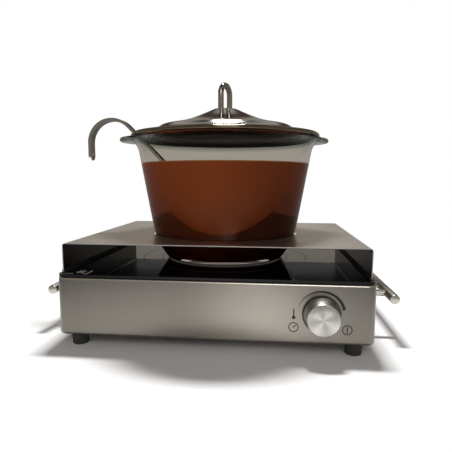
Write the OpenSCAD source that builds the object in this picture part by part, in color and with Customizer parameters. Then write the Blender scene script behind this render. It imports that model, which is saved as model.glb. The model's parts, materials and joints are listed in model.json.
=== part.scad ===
// Heated melting station: a radiant hob in a steel case, a steel bridge over it,
// a glass pot with a lid, and a ladle.
// Millimetres, +Z up, +Y to the back. The origin is on the table, under the pot's axis.

/* [Case] */
// Width of the case
case_w = 368; // [340:2:440]
// Depth of the case
case_d = 300; // [280:2:380]
// Height of the case, without its feet
case_h = 69; // [64:0.2:90]
// Thickness of the case's sheet steel
sheet_t = 1.2; // [0.8:0.1:1.5]
// Radius of the case's upright corners
corner_r = 10; // [8:1:16]
// Radius of the case's folded edges
fold_r = 3; // [2:0.5:4]
// Width of the top flange that carries the glass
top_flange_w = 14; // [12:1:20]
// Width of the bottom flange that carries the base plate
low_flange_w = 34; // [32:1:40]
// Clearance between a loose piece and the piece around it
loose_gap = 0.4; // [0.2:0.1:0.8]
// Radial clearance of a shaft or a screw in its bore
bore_gap = 0.05; // [0.03:0.01:0.1]

/* [Glass top] */
// Thickness of the glass top
glass_t = 3; // [3:0.5:6]
// How far the glass stops short of the case's sides
glass_inset = 0.5; // [0.3:0.1:2]
// Thickness of the seal under the glass
seal_t = 0.6; // [0.4:0.1:1.5]
// Width of the seal under the glass
seal_w = 8; // [6:1:10]

/* [Feet] */
// Height of a foot
foot_h = 14; // [12:1:25]
// Radius of a foot
foot_r = 10; // [8:0.5:12]
// Distance from a foot's centre to the side of the case
foot_side = 22; // [20:1:24]
// Distance from a foot's centre to the front or back of the case
foot_front = 14; // [14:1:20]

/* [Side handles] */
// Length of a handle bar
bar_len = 193; // [160:1:230]
// Radius of a handle bar
bar_r = 6; // [5:0.5:8]
// Distance from the case's side to the bar's axis
bar_out = 33; // [32:1:50]
// Height of the bars above the case's bottom
bar_up = 39.6; // [28:0.2:42]
// Radius of a handle post
post_r = 4.25; // [3.5:0.25:5]
// Distance from the bar's end to its post
post_in = 32; // [20:1:45]

/* [Knob] */
// Distance from the middle of the case to the knob's axis
knob_x = 124; // [118:1:130]
// Height of the knob's axis above the case's bottom
knob_up = 34.6; // [28:0.2:36]
// Radius of the knob at the panel
knob_r = 19.8; // [17:0.2:22]
// Radius of the knob at its face
knob_face_r = 17.9; // [15:0.1:18]
// How far the knob stands out from the panel
knob_out = 22.5; // [18:0.5:26]
// Thickness of the knob's metal cap
cap_t = 1; // [0.8:0.1:1.4]
// Width of the ring around the knob
bezel_w = 1.4; // [1:0.1:3]
// Radius of the knob's shaft
shaft_r = 3; // [2.5:0.25:3.5]

/* [Heater] */
// Outer radius of the heater dish
dish_r = 114; // [100:1:120]
// Height of the heater's insulation, up to the glass
heater_h = 26; // [22:1:27]
// Thickness of the insulation under the coil
floor_t = 9; // [6:0.5:12]
// Width of the insulation round the coil
ring_w = 9; // [6:0.5:12]
// Radius of the insulating ring between the two heating zones
zone_r = 88; // [78:1:92]
// Height of the heating ribbon
ribbon_h = 6; // [4:0.5:8]
// Distance between turns of the heating ribbon
ribbon_pitch = 8; // [7:0.5:12]

/* [Fan] */
// Side of the fan's square frame
fan_w = 60; // [50:1:60]
// Thickness of the fan's frame
fan_t = 15; // [12:1:20]
// Clearance between the fan's blades and its frame
fan_gap = 1; // [0.6:0.1:2]
// Number of fan blades
blade_n = 7; // [5:1:9]

/* [Cord gland] */
// Radius of the gland's bore for the mains cord
gland_bore_r = 3.75; // [3:0.25:5]
// How far the gland stands out from the back of the case
gland_out = 22.5; // [18:0.5:26]
// Distance from the middle of the case to the gland
gland_x = 120; // [100:1:125]
// Height of the gland's axis above the case's bottom
gland_up = 26; // [22:1:32]

/* [Bridge] */
// Width of the bridge
bridge_w = 359; // [330:1:370]
// Depth of the bridge
bridge_d = 280; // [250:2:300]
// Height of the bridge's top above the glass
bridge_h = 35.4; // [28:0.2:45]
// Thickness of the bridge's sheet steel
bridge_t = 1.5; // [1:0.1:2]
// Outer radius of the bridge's two bends
bend_r = 4; // [3:0.5:8]
// Gap between the bridge's hole and the pot
pot_gap = 1.5; // [1:0.1:4]
// Wall of the soft strips on the bridge's lower edges
strip_wall = 0.9; // [0.6:0.1:1.5]
// Height of the soft strips
strip_h = 4; // [3:0.5:6]

/* [Pot] */
// Height of the pot
pot_h = 167.5; // [150:0.5:185]
// Outer radius of the pot where its straight wall begins
pot_r = 102.4; // [95:0.2:108]
// Height at which the straight wall begins
pot_bend_z = 45; // [38:1:50]
// Lean of the straight wall from upright, in degrees
pot_lean = 10; // [6:0.5:12]
// Thickness of the pot's wall
pot_wall = 4.6; // [3.5:0.1:5]
// Radius of the rounded lower wall
bowl_r = 90; // [80:1:100]
// Radius of the ring that the pot stands on
stand_r = 75; // [65:1:77]
// Radius of the flare under the lip
flare_r = 22; // [18:1:26]
// Width of the lip's flat top
lip_flat = 4.2; // [3.5:0.1:5]
// How far the two ears reach past the lip
ear_out = 14; // [8:1:18]
// Radius of an ear's rounded outline
ear_r = 55; // [45:1:65]
// Thickness of an ear
ear_t = 6; // [4:0.5:8]
// Turn of the ears about the pot's axis, in degrees
ear_turn = 10; // [0:1:20]

/* [Lid] */
// Thickness of the lid's sheet steel
lid_t = 0.8; // [0.6:0.1:1.2]
// Radius of the bead rolled into the lid's edge
bead_r = 2.9; // [2:0.1:3.5]
// Width of the lid's flat border
border_w = 23; // [18:1:28]
// Rise of the step inside the border
step_h = 6.5; // [4:0.5:9]
// Width of the step inside the border
step_w = 8; // [5:1:12]
// Rise of the cone above the step
cone_h = 24; // [18:1:32]
// Radius of the flat on top of the lid
lid_top_r = 17; // [17:0.5:22]
// Depth of the lid's skirt inside the pot
skirt_h = 4; // [3:0.5:8]
// Clearance round the ladle in the lid's notch
notch_gap = 3; // [2:0.5:5]
// Radius of the lid handle's rod
loop_rod_r = 4; // [3:0.25:4.5]
// Distance between the legs of the lid's handle
loop_w = 25; // [22:1:26]
// Height of the lid's handle
loop_h = 37; // [30:1:50]
// Turn of the lid's handle from the ladle, in degrees
loop_turn = 67; // [0:1:180]

/* [Ladle] */
// Width of the ladle's handle
ladle_w = 16; // [12:1:20]
// Depth of the ladle handle's channel section
channel_h = 4; // [3:0.5:5]
// Thickness of the ladle's steel
ladle_t = 1; // [0.8:0.1:1.5]
// Radius of the hook at the ladle's end
hook_r = 33.4; // [26:0.2:38]
// Length of the hook's straight end
hook_end = 25; // [15:1:35]
// Outer radius of the ladle's bowl
scoop_r = 40; // [32:1:40]
// How far the hook's centre lies past the ear's reach
hook_out = 16.8; // [16:0.2:30]
// Clearance between the ladle's handle and the pot's lip
ladle_gap = 2.1; // [1.5:0.1:4]
// Clearance between the ladle's bowl and the pot's wall
scoop_gap = 6; // [4:0.5:12]

/* [Hidden] */
$fn = 96;
eps = 0.01;

// Levels, from the table up
case_z = foot_h;
plate_z = case_z + sheet_t;
floor_z = plate_z + sheet_t;
case_top = case_z + case_h;
seal_top = case_top + seal_t;
glass_top_z = seal_top + glass_t;
front_y = -case_d / 2;
back_y = case_d / 2;
side_x = case_w / 2;

// Screws: machine screws for the case, small screws for the board and the fan
screw_r = 1.95;
screw_head_r = 3.8;
screw_head_h = 2.2;
screw_len = 7;
small_screw_r = 1.45;
small_head_r = 2.7;
small_head_h = 1.6;

// Rectangle about the origin with rounded corners
module rounded_rect(w, d, r) {
    square([w - 2 * r, d], center = true);
    square([w, d - 2 * r], center = true);
    for (sx = [-1, 1], sy = [-1, 1])
        translate([sx * (w / 2 - r), sy * (d / 2 - r)]) circle(r);
}

// Plate with rounded corners, from z = 0 up
module plate(w, d, t, r) {
    linear_extrude(t) rounded_rect(w, d, r);
}

// Block about the origin with upright corners of one radius and folded edges of another
module folded_block(w, d, h, corner, fold) {
    rotate([90, 0, 90]) linear_extrude(w - 2 * corner, center = true) rounded_rect(d, h, fold);
    rotate([90, 0, 0]) linear_extrude(d - 2 * corner, center = true) rounded_rect(w, h, fold);
    for (sx = [-1, 1], sy = [-1, 1])
        translate([sx * (w / 2 - corner), sy * (d / 2 - corner), 0])
            rotate_extrude() corner_profile(h, corner, fold);
}

// Half section of the post that rounds one upright corner of a folded block
module corner_profile(h, corner, fold) {
    translate([0, -h / 2]) square([corner - fold, h]);
    translate([0, fold - h / 2]) square([corner, h - 2 * fold]);
    for (sz = [-1, 1])
        translate([corner - fold, sz * (h / 2 - fold)]) circle(fold);
}

// Ring or tube from z = 0 up
module tube(r_out, r_in, h) {
    difference() {
        cylinder(r = r_out, h = h);
        translate([0, 0, -1]) cylinder(r = r_in, h = h + 2);
    }
}

// Machine screw: head from z = -head_h to 0, shank from 0 up
module screw(shank_r, length, head_r, head_h) {
    translate([0, 0, -head_h]) cylinder(r = head_r, h = head_h);
    translate([0, 0, -eps]) cylinder(r = shank_r, h = length + eps);
}

// Points of an arc about a centre, from one angle to another
function arc(centre, r, from, to, steps) = [
    for (i = [0 : steps])
        let (a = from + (to - from) * i / steps)
        [centre[0] + r * cos(a), centre[1] + r * sin(a)]
];

// Where the screws and the feet of the case stand
base_screw_points = [
    for (sx = [-1, 1]) [sx * (side_x - low_flange_w / 2), 0],
    for (sx = [-1, 1], sy = [-1, 1]) [sx * side_x / 2, sy * (back_y - low_flange_w / 2)]
];
foot_points = [
    for (sx = [-1, 1], sy = [-1, 1]) [sx * (side_x - foot_side), sy * (back_y - foot_front)]
];

// ---- Case ----

// Places its children on the knob's axis, with z = 0 on the panel and z forwards
module on_panel() {
    translate([knob_x, front_y, case_z + knob_up]) rotate([90, 0, 0]) children();
}

// Places its children on the gland's axis, with z = 0 on the back wall and z backwards
module on_back() {
    translate([-gland_x, back_y, case_z + gland_up]) rotate([-90, 0, 0]) children();
}

// Places its children at each post, with z = 0 on the case's side and z outwards
module on_side(side) {
    for (sy = [-1, 1])
        translate([side * side_x, sy * (bar_len / 2 - post_in), case_z + bar_up])
            rotate([0, side * 90, 0]) children();
}

bushing_r = 4.5;
wall_hole_gap = 0.2;
gland_thread_r = 8;
vent_n = 9;
vent_pitch = 8;
vent_w = 3;
vent_h = 26;

// Upright slots in the back wall that let warm air out
module back_vents() {
    for (i = [0 : vent_n - 1])
        translate([(i - (vent_n - 1) / 2) * vent_pitch, back_y, case_z + case_h / 2])
            cube([vent_w, 4 * sheet_t, vent_h], center = true);
}

module case_shell() {
    mid_z = case_z + case_h / 2;
    color("silver")
    difference() {
        translate([0, 0, mid_z]) folded_block(case_w, case_d, case_h, corner_r, fold_r);
        translate([0, 0, mid_z])
            folded_block(case_w - 2 * sheet_t, case_d - 2 * sheet_t, case_h - 2 * sheet_t,
                         corner_r - sheet_t, fold_r - sheet_t);
        translate([0, 0, case_top - 2 * sheet_t])
            plate(case_w - 2 * top_flange_w, case_d - 2 * top_flange_w, 4 * sheet_t, fold_r);
        translate([0, 0, case_z - 2 * sheet_t])
            plate(case_w - 2 * low_flange_w, case_d - 2 * low_flange_w, 4 * sheet_t, fold_r);
        on_panel() translate([0, 0, -2 * sheet_t])
            cylinder(r = bushing_r + wall_hole_gap, h = 4 * sheet_t);
        on_back() translate([0, 0, -2 * sheet_t])
            cylinder(r = gland_thread_r + wall_hole_gap, h = 4 * sheet_t);
        for (side = [-1, 1]) on_side(side) translate([0, 0, -2 * sheet_t])
            cylinder(r = screw_r + wall_hole_gap, h = 4 * sheet_t);
        for (p = concat(base_screw_points, foot_points))
            translate([p[0], p[1], case_z - sheet_t])
                cylinder(r = screw_r + wall_hole_gap, h = 3 * sheet_t);
        back_vents();
    }
}

// ---- Base ----

base_edge_gap = fold_r + loose_gap;
slot_n = 11;
slot_pitch = 12;
slot_w = 4;
slot_l = 70;
fan_x = 105;
fan_y = 84;
fan_ring_n = 3;
fan_hole_r = 2.2;
fan_screw_at = fan_w / 2 - 4;

// Places its children at the four corners of the fan
module at_fan_corners() {
    for (sx = [-1, 1], sy = [-1, 1])
        translate([fan_x + sx * fan_screw_at, fan_y + sy * fan_screw_at, 0]) children();
}

// Rings of round holes under the fan
module fan_grille(h) {
    for (ring = [1 : fan_ring_n], k = [0 : 6 * ring - 1])
        translate([fan_x, fan_y, 0]) rotate(60 * k / ring)
            translate([ring * 7, 0, 0]) cylinder(r = fan_hole_r, h = h);
}

module base_plate() {
    w = case_w - 2 * base_edge_gap;
    d = case_d - 2 * base_edge_gap;
    color("gainsboro")
    difference() {
        translate([0, 0, plate_z]) plate(w, d, sheet_t, corner_r - fold_r + 1);
        for (p = concat(base_screw_points, foot_points))
            translate([p[0], p[1], plate_z - 1]) cylinder(r = screw_r + bore_gap, h = sheet_t + 2);
        for (i = [0 : slot_n - 1])
            translate([(i - (slot_n - 1) / 2) * slot_pitch - slot_pitch, 0, plate_z + sheet_t / 2])
                cube([slot_w, slot_l, 4 * sheet_t], center = true);
        translate([0, 0, plate_z - 1]) fan_grille(sheet_t + 2);
        at_fan_corners() translate([0, 0, plate_z - 1])
            cylinder(r = small_screw_r + bore_gap, h = sheet_t + 2);
    }
}

module base_screws() {
    color("dimgray")
    for (p = base_screw_points)
        translate([p[0], p[1], case_z]) screw(screw_r, screw_len, screw_head_r, screw_head_h);
}

foot_recess_h = 6;

module foot(i) {
    color("black")
    translate([foot_points[i][0], foot_points[i][1], 0])
    difference() {
        rotate_extrude() polygon([
            [0, 0], [foot_r - 1.5, 0], [foot_r - 0.5, 1], [foot_r, foot_h - 2],
            [foot_r, foot_h], [0, foot_h]
        ]);
        translate([0, 0, -1]) cylinder(r = screw_head_r + wall_hole_gap, h = foot_recess_h + 1);
        cylinder(r = screw_r + bore_gap, h = foot_h + 1);
    }
}

module foot_front_left() { foot(0); }
module foot_back_left() { foot(1); }
module foot_front_right() { foot(2); }
module foot_back_right() { foot(3); }

module foot_screws() {
    color("dimgray")
    for (p = foot_points)
        translate([p[0], p[1], foot_recess_h])
            screw(screw_r, foot_h - foot_recess_h + screw_len, screw_head_r, screw_head_h);
}

// ---- Glass top ----

glass_w = case_w - 2 * glass_inset;
glass_d = case_d - 2 * glass_inset;
seal_inset = fold_r + 0.5;

module glass_top() {
    color("black")
    translate([0, 0, seal_top]) plate(glass_w, glass_d, glass_t, corner_r - glass_inset);
}

module glass_seal() {
    w = glass_w - 2 * seal_inset;
    d = glass_d - 2 * seal_inset;
    color("dimgray")
    translate([0, 0, case_top]) difference() {
        plate(w, d, seal_t, corner_r - seal_inset);
        translate([0, 0, -1]) plate(w - 2 * seal_w, d - 2 * seal_w, seal_t + 2, 2);
    }
}

// ---- Side handles ----

post_depth = 14;

// Bar along Y beside the case, with a blind hole for each post
module bar(side) {
    color("lightgray")
    difference() {
        translate([side * (side_x + bar_out), 0, case_z + bar_up]) rotate([90, 0, 0])
            cylinder(r = bar_r, h = bar_len, center = true);
        on_side(side) translate([0, 0, bar_out - bar_r - 1])
            cylinder(r = post_r + bore_gap, h = bar_r + 1);
    }
}

module posts(side) {
    color("lightgray")
    on_side(side) difference() {
        cylinder(r = post_r, h = bar_out);
        translate([0, 0, -1]) cylinder(r = screw_r + bore_gap, h = post_depth + 1);
    }
}

module bar_left() { bar(-1); }
module bar_right() { bar(1); }
module posts_left() { posts(-1); }
module posts_right() { posts(1); }

module post_screws() {
    color("dimgray")
    for (side = [-1, 1]) on_side(side) translate([0, 0, -sheet_t])
        screw(screw_r, post_depth - 1, screw_head_r, screw_head_h);
}

// ---- Selector and knob ----

selector_w = 18;
selector_d = 12;
bushing_out = 6.5;
nut_h = 2.4;
nut_r = 7.5;
shaft_in = 9;
shaft_out = knob_out - 6;
knob_back_gap = 1.5;
bezel_h = 1;
bezel_gap = 0.3;
recess_r = 9.5;

module selector_body() {
    color("dimgray")
    on_panel() difference() {
        union() {
            translate([0, 0, -sheet_t - selector_d / 2])
                cube([selector_w, selector_w, selector_d], center = true);
            translate([0, 0, -sheet_t - eps]) cylinder(r = bushing_r, h = sheet_t + bushing_out + eps);
        }
        translate([0, 0, -shaft_in - 1]) cylinder(r = shaft_r + bore_gap, h = shaft_in + bushing_out + 2);
    }
}

module selector_nut() {
    color("silver")
    on_panel() difference() {
        cylinder(r = nut_r, h = nut_h, $fn = 6);
        translate([0, 0, -1]) cylinder(r = bushing_r + bore_gap, h = nut_h + 2);
    }
}

module selector_shaft() {
    color("silver")
    on_panel() translate([0, 0, -shaft_in]) cylinder(r = shaft_r, h = shaft_in + shaft_out);
}

// Radius of the knob's outside at a distance from the panel
function knob_r_at(z) = knob_r + (knob_face_r - knob_r) * (z - knob_back_gap) / (knob_out - knob_back_gap);

module knob_core() {
    core_top = knob_out - cap_t;
    recess_h = bushing_out + 1;
    color("black")
    on_panel() difference() {
        translate([0, 0, knob_back_gap])
            cylinder(r1 = knob_r_at(knob_back_gap) - cap_t, r2 = knob_r_at(core_top) - cap_t,
                     h = core_top - knob_back_gap);
        translate([0, 0, knob_back_gap - 1]) cylinder(r = recess_r, h = recess_h - knob_back_gap + 1);
        cylinder(r = shaft_r + bore_gap, h = shaft_out);
    }
}

module knob_cap() {
    bevel = 0.9;
    core_top = knob_out - cap_t;
    color("silver")
    on_panel() rotate_extrude() polygon([
        [knob_r_at(knob_back_gap) - cap_t, knob_back_gap],
        [knob_r_at(knob_back_gap), knob_back_gap],
        [knob_r_at(knob_out - bevel), knob_out - bevel],
        [knob_face_r - bevel, knob_out],
        [0, knob_out],
        [0, core_top],
        [knob_r_at(core_top) - cap_t, core_top]
    ]);
}

module knob_bezel() {
    r_in = knob_r + bezel_gap;
    color("black")
    on_panel() tube(r_in + bezel_w, r_in, bezel_h);
}

// ---- Cord gland ----

gland_hex_r = 12;
gland_hex_h = 6;
gland_in = 11;
gland_nut_h = 5;

module cord_gland() {
    dome_r = gland_hex_r * cos(30) - 0.4;
    color("black")
    on_back() difference() {
        union() {
            translate([0, 0, -gland_in]) cylinder(r = gland_thread_r, h = gland_in + 1);
            cylinder(r = gland_hex_r, h = gland_hex_h, $fn = 6);
            rotate_extrude() polygon([
                [0, 1], [dome_r, 1], [dome_r, gland_hex_h + 7],
                [gland_bore_r + 2.5, gland_out], [0, gland_out]
            ]);
        }
        translate([0, 0, -gland_in - 1]) cylinder(r = gland_bore_r, h = gland_in + gland_out + 2);
    }
}

module gland_nut() {
    color("black")
    on_back() translate([0, 0, -sheet_t - gland_nut_h]) difference() {
        cylinder(r = gland_hex_r, h = gland_nut_h, $fn = 6);
        translate([0, 0, -1]) cylinder(r = gland_thread_r + bore_gap, h = gland_nut_h + 2);
    }
}

// ---- Heater ----

dish_t = 0.8;
dish_z = seal_top - heater_h - dish_t;
dish_rim_gap = 1.6;
coil_z = seal_top - heater_h + floor_t;
rod_r = 2.2;
rod_gap = 0.3;
rod_z = coil_z + ribbon_h + 4;
rod_inner_x = 70;
zone_w = 3;
ribbon_t = 0.6;
coil_r_min = 20;
ribbon_gap_deg = 20;

module heater_dish() {
    color("gray")
    difference() {
        translate([0, 0, dish_z]) difference() {
            cylinder(r = dish_r, h = dish_t + heater_h - dish_rim_gap);
            translate([0, 0, dish_t]) cylinder(r = dish_r - dish_t, h = heater_h);
        }
        limiter_way();
    }
}

// The way through the heater's wall for the limiter's rod
module limiter_way() {
    translate([-dish_r - 5, 0, rod_z]) rotate([0, 90, 0])
        cylinder(r = rod_r + rod_gap, h = dish_r + 5 + rod_inner_x);
}

module heater_insulation() {
    fit_r = dish_r - dish_t;
    color("whitesmoke")
    difference() {
        union() {
            translate([0, 0, dish_z + dish_t]) cylinder(r = fit_r, h = floor_t);
            translate([0, 0, coil_z - eps]) tube(fit_r, fit_r - ring_w, heater_h - floor_t + eps);
            translate([0, 0, coil_z - eps]) tube(zone_r + zone_w / 2, zone_r - zone_w / 2,
                                                 heater_h - floor_t - dish_rim_gap);
        }
        limiter_way();
    }
}

// One open turn of the heating ribbon
module ribbon_turn(r) {
    rotate(ribbon_gap_deg / 2) rotate_extrude(angle = 360 - ribbon_gap_deg)
        translate([r - ribbon_t / 2, 0]) square([ribbon_t, ribbon_h]);
}

// Radii of the ribbon's turns, left out where the ring between the zones stands
coil_r_max = dish_r - dish_t - ring_w - ribbon_pitch / 2;
coil_radii = [
    for (r = [coil_r_min : ribbon_pitch : coil_r_max])
        if (abs(r - zone_r) > zone_w / 2 + 2) r
];

module heater_coil() {
    color("orangered")
    translate([0, 0, coil_z]) {
        for (r = coil_radii) ribbon_turn(r);
        for (i = [0 : len(coil_radii) - 2]) ribbon_strap(coil_radii[i], coil_radii[i + 1], i % 2);
    }
}

// Link from one turn to the next, on alternate sides of the gap, within one zone
module ribbon_strap(r, next_r, side) {
    if (zone_r < r || zone_r > next_r)
        mirror([0, side, 0]) rotate(ribbon_gap_deg / 2 + 1)
            translate([r, -ribbon_t / 2, 0]) cube([next_r - r, ribbon_t, ribbon_h]);
}

beam_w = 20;
beam_t = 1.5;
beam_top = dish_z - 5;
beam_half = dish_r + 10;
beam_foot = 14;

// Bent strip across the base that carries the heater
module heater_beam() {
    color("lightgray")
    rotate([90, 0, 0]) linear_extrude(beam_w, center = true)
        for (side = [0, 1]) mirror([side, 0]) {
            translate([-eps, beam_top - beam_t]) square([beam_half + eps, beam_t]);
            translate([beam_half - beam_t, floor_z]) square([beam_t, beam_top - floor_z]);
            translate([beam_half - beam_foot, floor_z]) square([beam_foot, beam_t]);
        }
}

// Leaf springs that press the heater up against the glass
module heater_springs() {
    spring_h = dish_z - beam_top;
    spring_t = 0.8;
    color("silver")
    for (sx = [-1, 1])
        translate([sx * dish_r / 2, 0, beam_top]) rotate([90, 0, 0])
            linear_extrude(beam_w - 6, center = true) polygon([
                [-24, 0], [-20, 0], [-9, spring_h - spring_t], [9, spring_h - spring_t],
                [20, 0], [24, 0], [24, spring_t], [20.5, spring_t], [9.5, spring_h],
                [-9.5, spring_h], [-20.5, spring_t], [-24, spring_t]
            ]);
}

head_l = 30;
head_w = 20;
head_h = 13;
head_x = dish_r + 3;

module limiter_rod() {
    color("lightblue")
    translate([-head_x - 4, 0, rod_z]) rotate([0, 90, 0])
        cylinder(r = rod_r, h = head_x + 4 + rod_inner_x - 2);
}

module limiter_head() {
    color("wheat")
    difference() {
        translate([-head_x - head_l, -head_w / 2, rod_z - head_h + 5]) cube([head_l, head_w, head_h]);
        translate([-head_x - 4, 0, rod_z]) rotate([0, 90, 0]) cylinder(r = rod_r + bore_gap, h = 5);
    }
}

lead_r = 1.5;
lead_gap = 6;
lead_bend = 8;
lead_x = head_x + head_l / 2 + 4;
lead_z = floor_z + 10;
block_y = 92;

// Two insulated leads from the limiter down and back to the terminal block
module heater_leads() {
    top_z = rod_z - head_h + 5;
    color("firebrick")
    for (sx = [-1, 1]) translate([-lead_x + sx * lead_gap / 2, 0, lead_z]) {
        translate([0, 0, lead_bend]) cylinder(r = lead_r, h = top_z - lead_z - lead_bend);
        translate([0, lead_bend, lead_bend]) rotate([90, 0, 90]) rotate([0, 0, 180])
            rotate_extrude(angle = 90) translate([lead_bend, 0]) circle(lead_r);
        translate([0, lead_bend, 0]) rotate([-90, 0, 0])
            cylinder(r = lead_r, h = block_y - lead_bend);
    }
}

block_l = 34;
block_w = 16;
block_h = 18;

module terminal_block() {
    color("beige")
    translate([-lead_x, block_y + block_w / 2, floor_z]) difference() {
        translate([-block_l / 2, -block_w / 2, 0]) cube([block_l, block_w, block_h]);
        for (i = [-1 : 1]) translate([i * 10, 0, block_h - 6]) cylinder(r = 2.6, h = 7);
    }
}

// ---- Control board ----

board_w = 110;
board_d = 68;
board_t = 1.6;
board_x = 92;
board_y = front_y + 52;
board_up = 9;
board_z = floor_z + board_up;
board_top = board_z + board_t;
board_hole_in = 5;
pillar_r = 3.5;

// Places its children at the four corners of the control board
module at_board_corners() {
    for (sx = [-1, 1], sy = [-1, 1])
        translate([board_x + sx * (board_w / 2 - board_hole_in),
                   board_y + sy * (board_d / 2 - board_hole_in), 0]) children();
}

module control_board() {
    color("darkgreen")
    difference() {
        translate([board_x - board_w / 2, board_y - board_d / 2, board_z])
            cube([board_w, board_d, board_t]);
        at_board_corners() translate([0, 0, board_z - 1])
            cylinder(r = small_screw_r + wall_hole_gap, h = board_t + 2);
    }
}

module board_pillars() {
    color("silver")
    at_board_corners() translate([0, 0, floor_z])
        tube(pillar_r, small_screw_r + bore_gap, board_up);
}

module board_screws() {
    color("dimgray")
    at_board_corners() translate([0, 0, board_top]) mirror([0, 0, 1])
        screw(small_screw_r, board_t + board_up - 1, small_head_r, small_head_h);
}

// Places a component on the board by its offset from the board's middle
module on_board(dx, dy) {
    translate([board_x + dx, board_y + dy, board_top]) children();
}

module transformer() {
    color("goldenrod")
    on_board(-33, 12) {
        translate([-16, -6, 0]) cube([32, 12, 19]);
        translate([-10, -11, 3]) cube([20, 22, 13]);
    }
}

module relays() {
    color("royalblue")
    for (i = [0, 1]) on_board(8, 2 + 17 * i) translate([-14.5, -6.5, 0]) cube([29, 13, 15.7]);
}

module heat_sink() {
    fin_n = 6;
    fin_pitch = 4.4;
    color("lightgray")
    on_board(38, 8) {
        translate([-13, -18, 0]) cube([26, 36, 3]);
        for (i = [0 : fin_n - 1])
            translate([(i - (fin_n - 1) / 2) * fin_pitch - 0.8, -18, 3 - eps]) cube([1.6, 36, 15]);
    }
}

module capacitors() {
    color("navy")
    for (i = [0 : 2]) on_board(-28 + 17 * i, -18) cylinder(r = 6, h = 16);
}

// ---- Fan ----

hub_r = 11;
motor_h = 4;
axle_r = 1.5;
blade_t = 1.2;
blade_tilt = 38;
blade_h = 7;

module fan_frame() {
    tunnel_r = fan_w / 2 - 1.5;
    color("black")
    translate([fan_x, fan_y, floor_z]) difference() {
        union() {
            difference() {
                linear_extrude(fan_t) rounded_rect(fan_w, fan_w, 3);
                translate([0, 0, -1]) cylinder(r = tunnel_r, h = fan_t + 2);
            }
            cylinder(r = hub_r, h = motor_h);
            for (k = [0 : 2]) rotate(120 * k + 30)
                translate([hub_r - 2, -2, 0]) cube([tunnel_r - hub_r + 3, 4, 2]);
        }
        for (sx = [-1, 1], sy = [-1, 1])
            translate([sx * fan_screw_at, sy * fan_screw_at, -1])
                cylinder(r = small_screw_r + bore_gap, h = fan_t + 2);
        translate([0, 0, 1]) cylinder(r = axle_r + bore_gap, h = motor_h);
    }
}

module fan_rotor() {
    blade_r = fan_w / 2 - 1.5 - fan_gap;
    rotor_z = motor_h + 0.5;
    color("dimgray")
    translate([fan_x, fan_y, floor_z]) {
        translate([0, 0, 1.3]) cylinder(r = axle_r, h = rotor_z);
        translate([0, 0, rotor_z]) cylinder(r = hub_r, h = fan_t - rotor_z - 1);
        intersection() {
            translate([0, 0, rotor_z]) tube(blade_r, hub_r - 0.5, fan_t - rotor_z - 1);
            for (k = [0 : blade_n - 1]) rotate(360 * k / blade_n)
                translate([hub_r - 1, 0, rotor_z + (fan_t - rotor_z - 1) / 2])
                    rotate([blade_tilt, 0, 0])
                        translate([0, -blade_h / 2, -blade_t / 2]) cube([blade_r, blade_h, blade_t]);
        }
    }
}

module fan_screws() {
    color("dimgray")
    at_fan_corners() translate([0, 0, floor_z + fan_t]) mirror([0, 0, 1])
        screw(small_screw_r, fan_t + sheet_t, small_head_r, small_head_h);
}

// ---- Pot ----

// The pot's outlines are drawn from z = 0 at the foot, as [radius, height]
wall_tan = tan(pot_lean);
bowl_centre = [pot_r - bowl_r * cos(pot_lean), pot_bend_z + bowl_r * sin(pot_lean)];
foot_z = 2;
stand_z = 1.2;
pot_floor = stand_z + 5;
lip_round = 1.5;
flare_end = 25;
flare_z = pot_h - 2 * lip_round - flare_r * (cos(flare_end) - sin(pot_lean));
flare_centre = [
    wall_r(flare_z) + flare_r * cos(pot_lean),
    flare_z - flare_r * sin(pot_lean)
];
lip_r = flare_centre[0] - flare_r * sin(flare_end);
lip_in_r = lip_r - lip_flat - lip_round;
flare_in_r = flare_r + pot_wall;
flare_in_end = asin((flare_centre[0] - lip_in_r) / flare_in_r);

// Outer radius of the straight wall at a height
function wall_r(z) = pot_r + (z - pot_bend_z) * wall_tan;

// Outer radius of the pot at a height, below the flare
function pot_r_at(z) = z > pot_bend_z
    ? wall_r(z)
    : bowl_centre[0] + sqrt(bowl_r * bowl_r - (z - bowl_centre[1]) * (z - bowl_centre[1]));

pot_outline = concat(
    [[0, stand_z], [stand_r - 4, stand_z], [stand_r - 2, 0], [stand_r + 2, 0]],
    arc(bowl_centre, bowl_r, asin((foot_z - bowl_centre[1]) / bowl_r), -pot_lean, 10),
    arc(flare_centre, flare_r, 180 - pot_lean, 90 + flare_end, 6),
    arc([lip_r - lip_round, pot_h - lip_round], lip_round, 0, 90, 4),
    [[0, pot_h]]
);

pot_void = concat(
    [[0, pot_floor]],
    arc(bowl_centre, bowl_r - pot_wall, asin((pot_floor - bowl_centre[1]) / (bowl_r - pot_wall)),
        -pot_lean, 10),
    arc(flare_centre, flare_in_r, 180 - pot_lean, 90 + flare_in_end, 6),
    [[lip_in_r, pot_h + 1], [0, pot_h + 1]]
);

module pot() {
    color("lightcyan", 0.4)
    translate([0, 0, glass_top_z]) difference() {
        union() {
            rotate_extrude() polygon(pot_outline);
            for (side = [-1, 1])
                rotate(ear_turn) translate([side * (lip_r + ear_out - ear_r), 0, pot_h - ear_t])
                    cylinder(r = ear_r, h = ear_t);
        }
        rotate_extrude() polygon(pot_void);
    }
}

// ---- Bridge ----

bridge_top = glass_top_z + bridge_h;
leg_z = glass_top_z + strip_wall;
hole_r = pot_r_at(bridge_h) + pot_gap;

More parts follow.
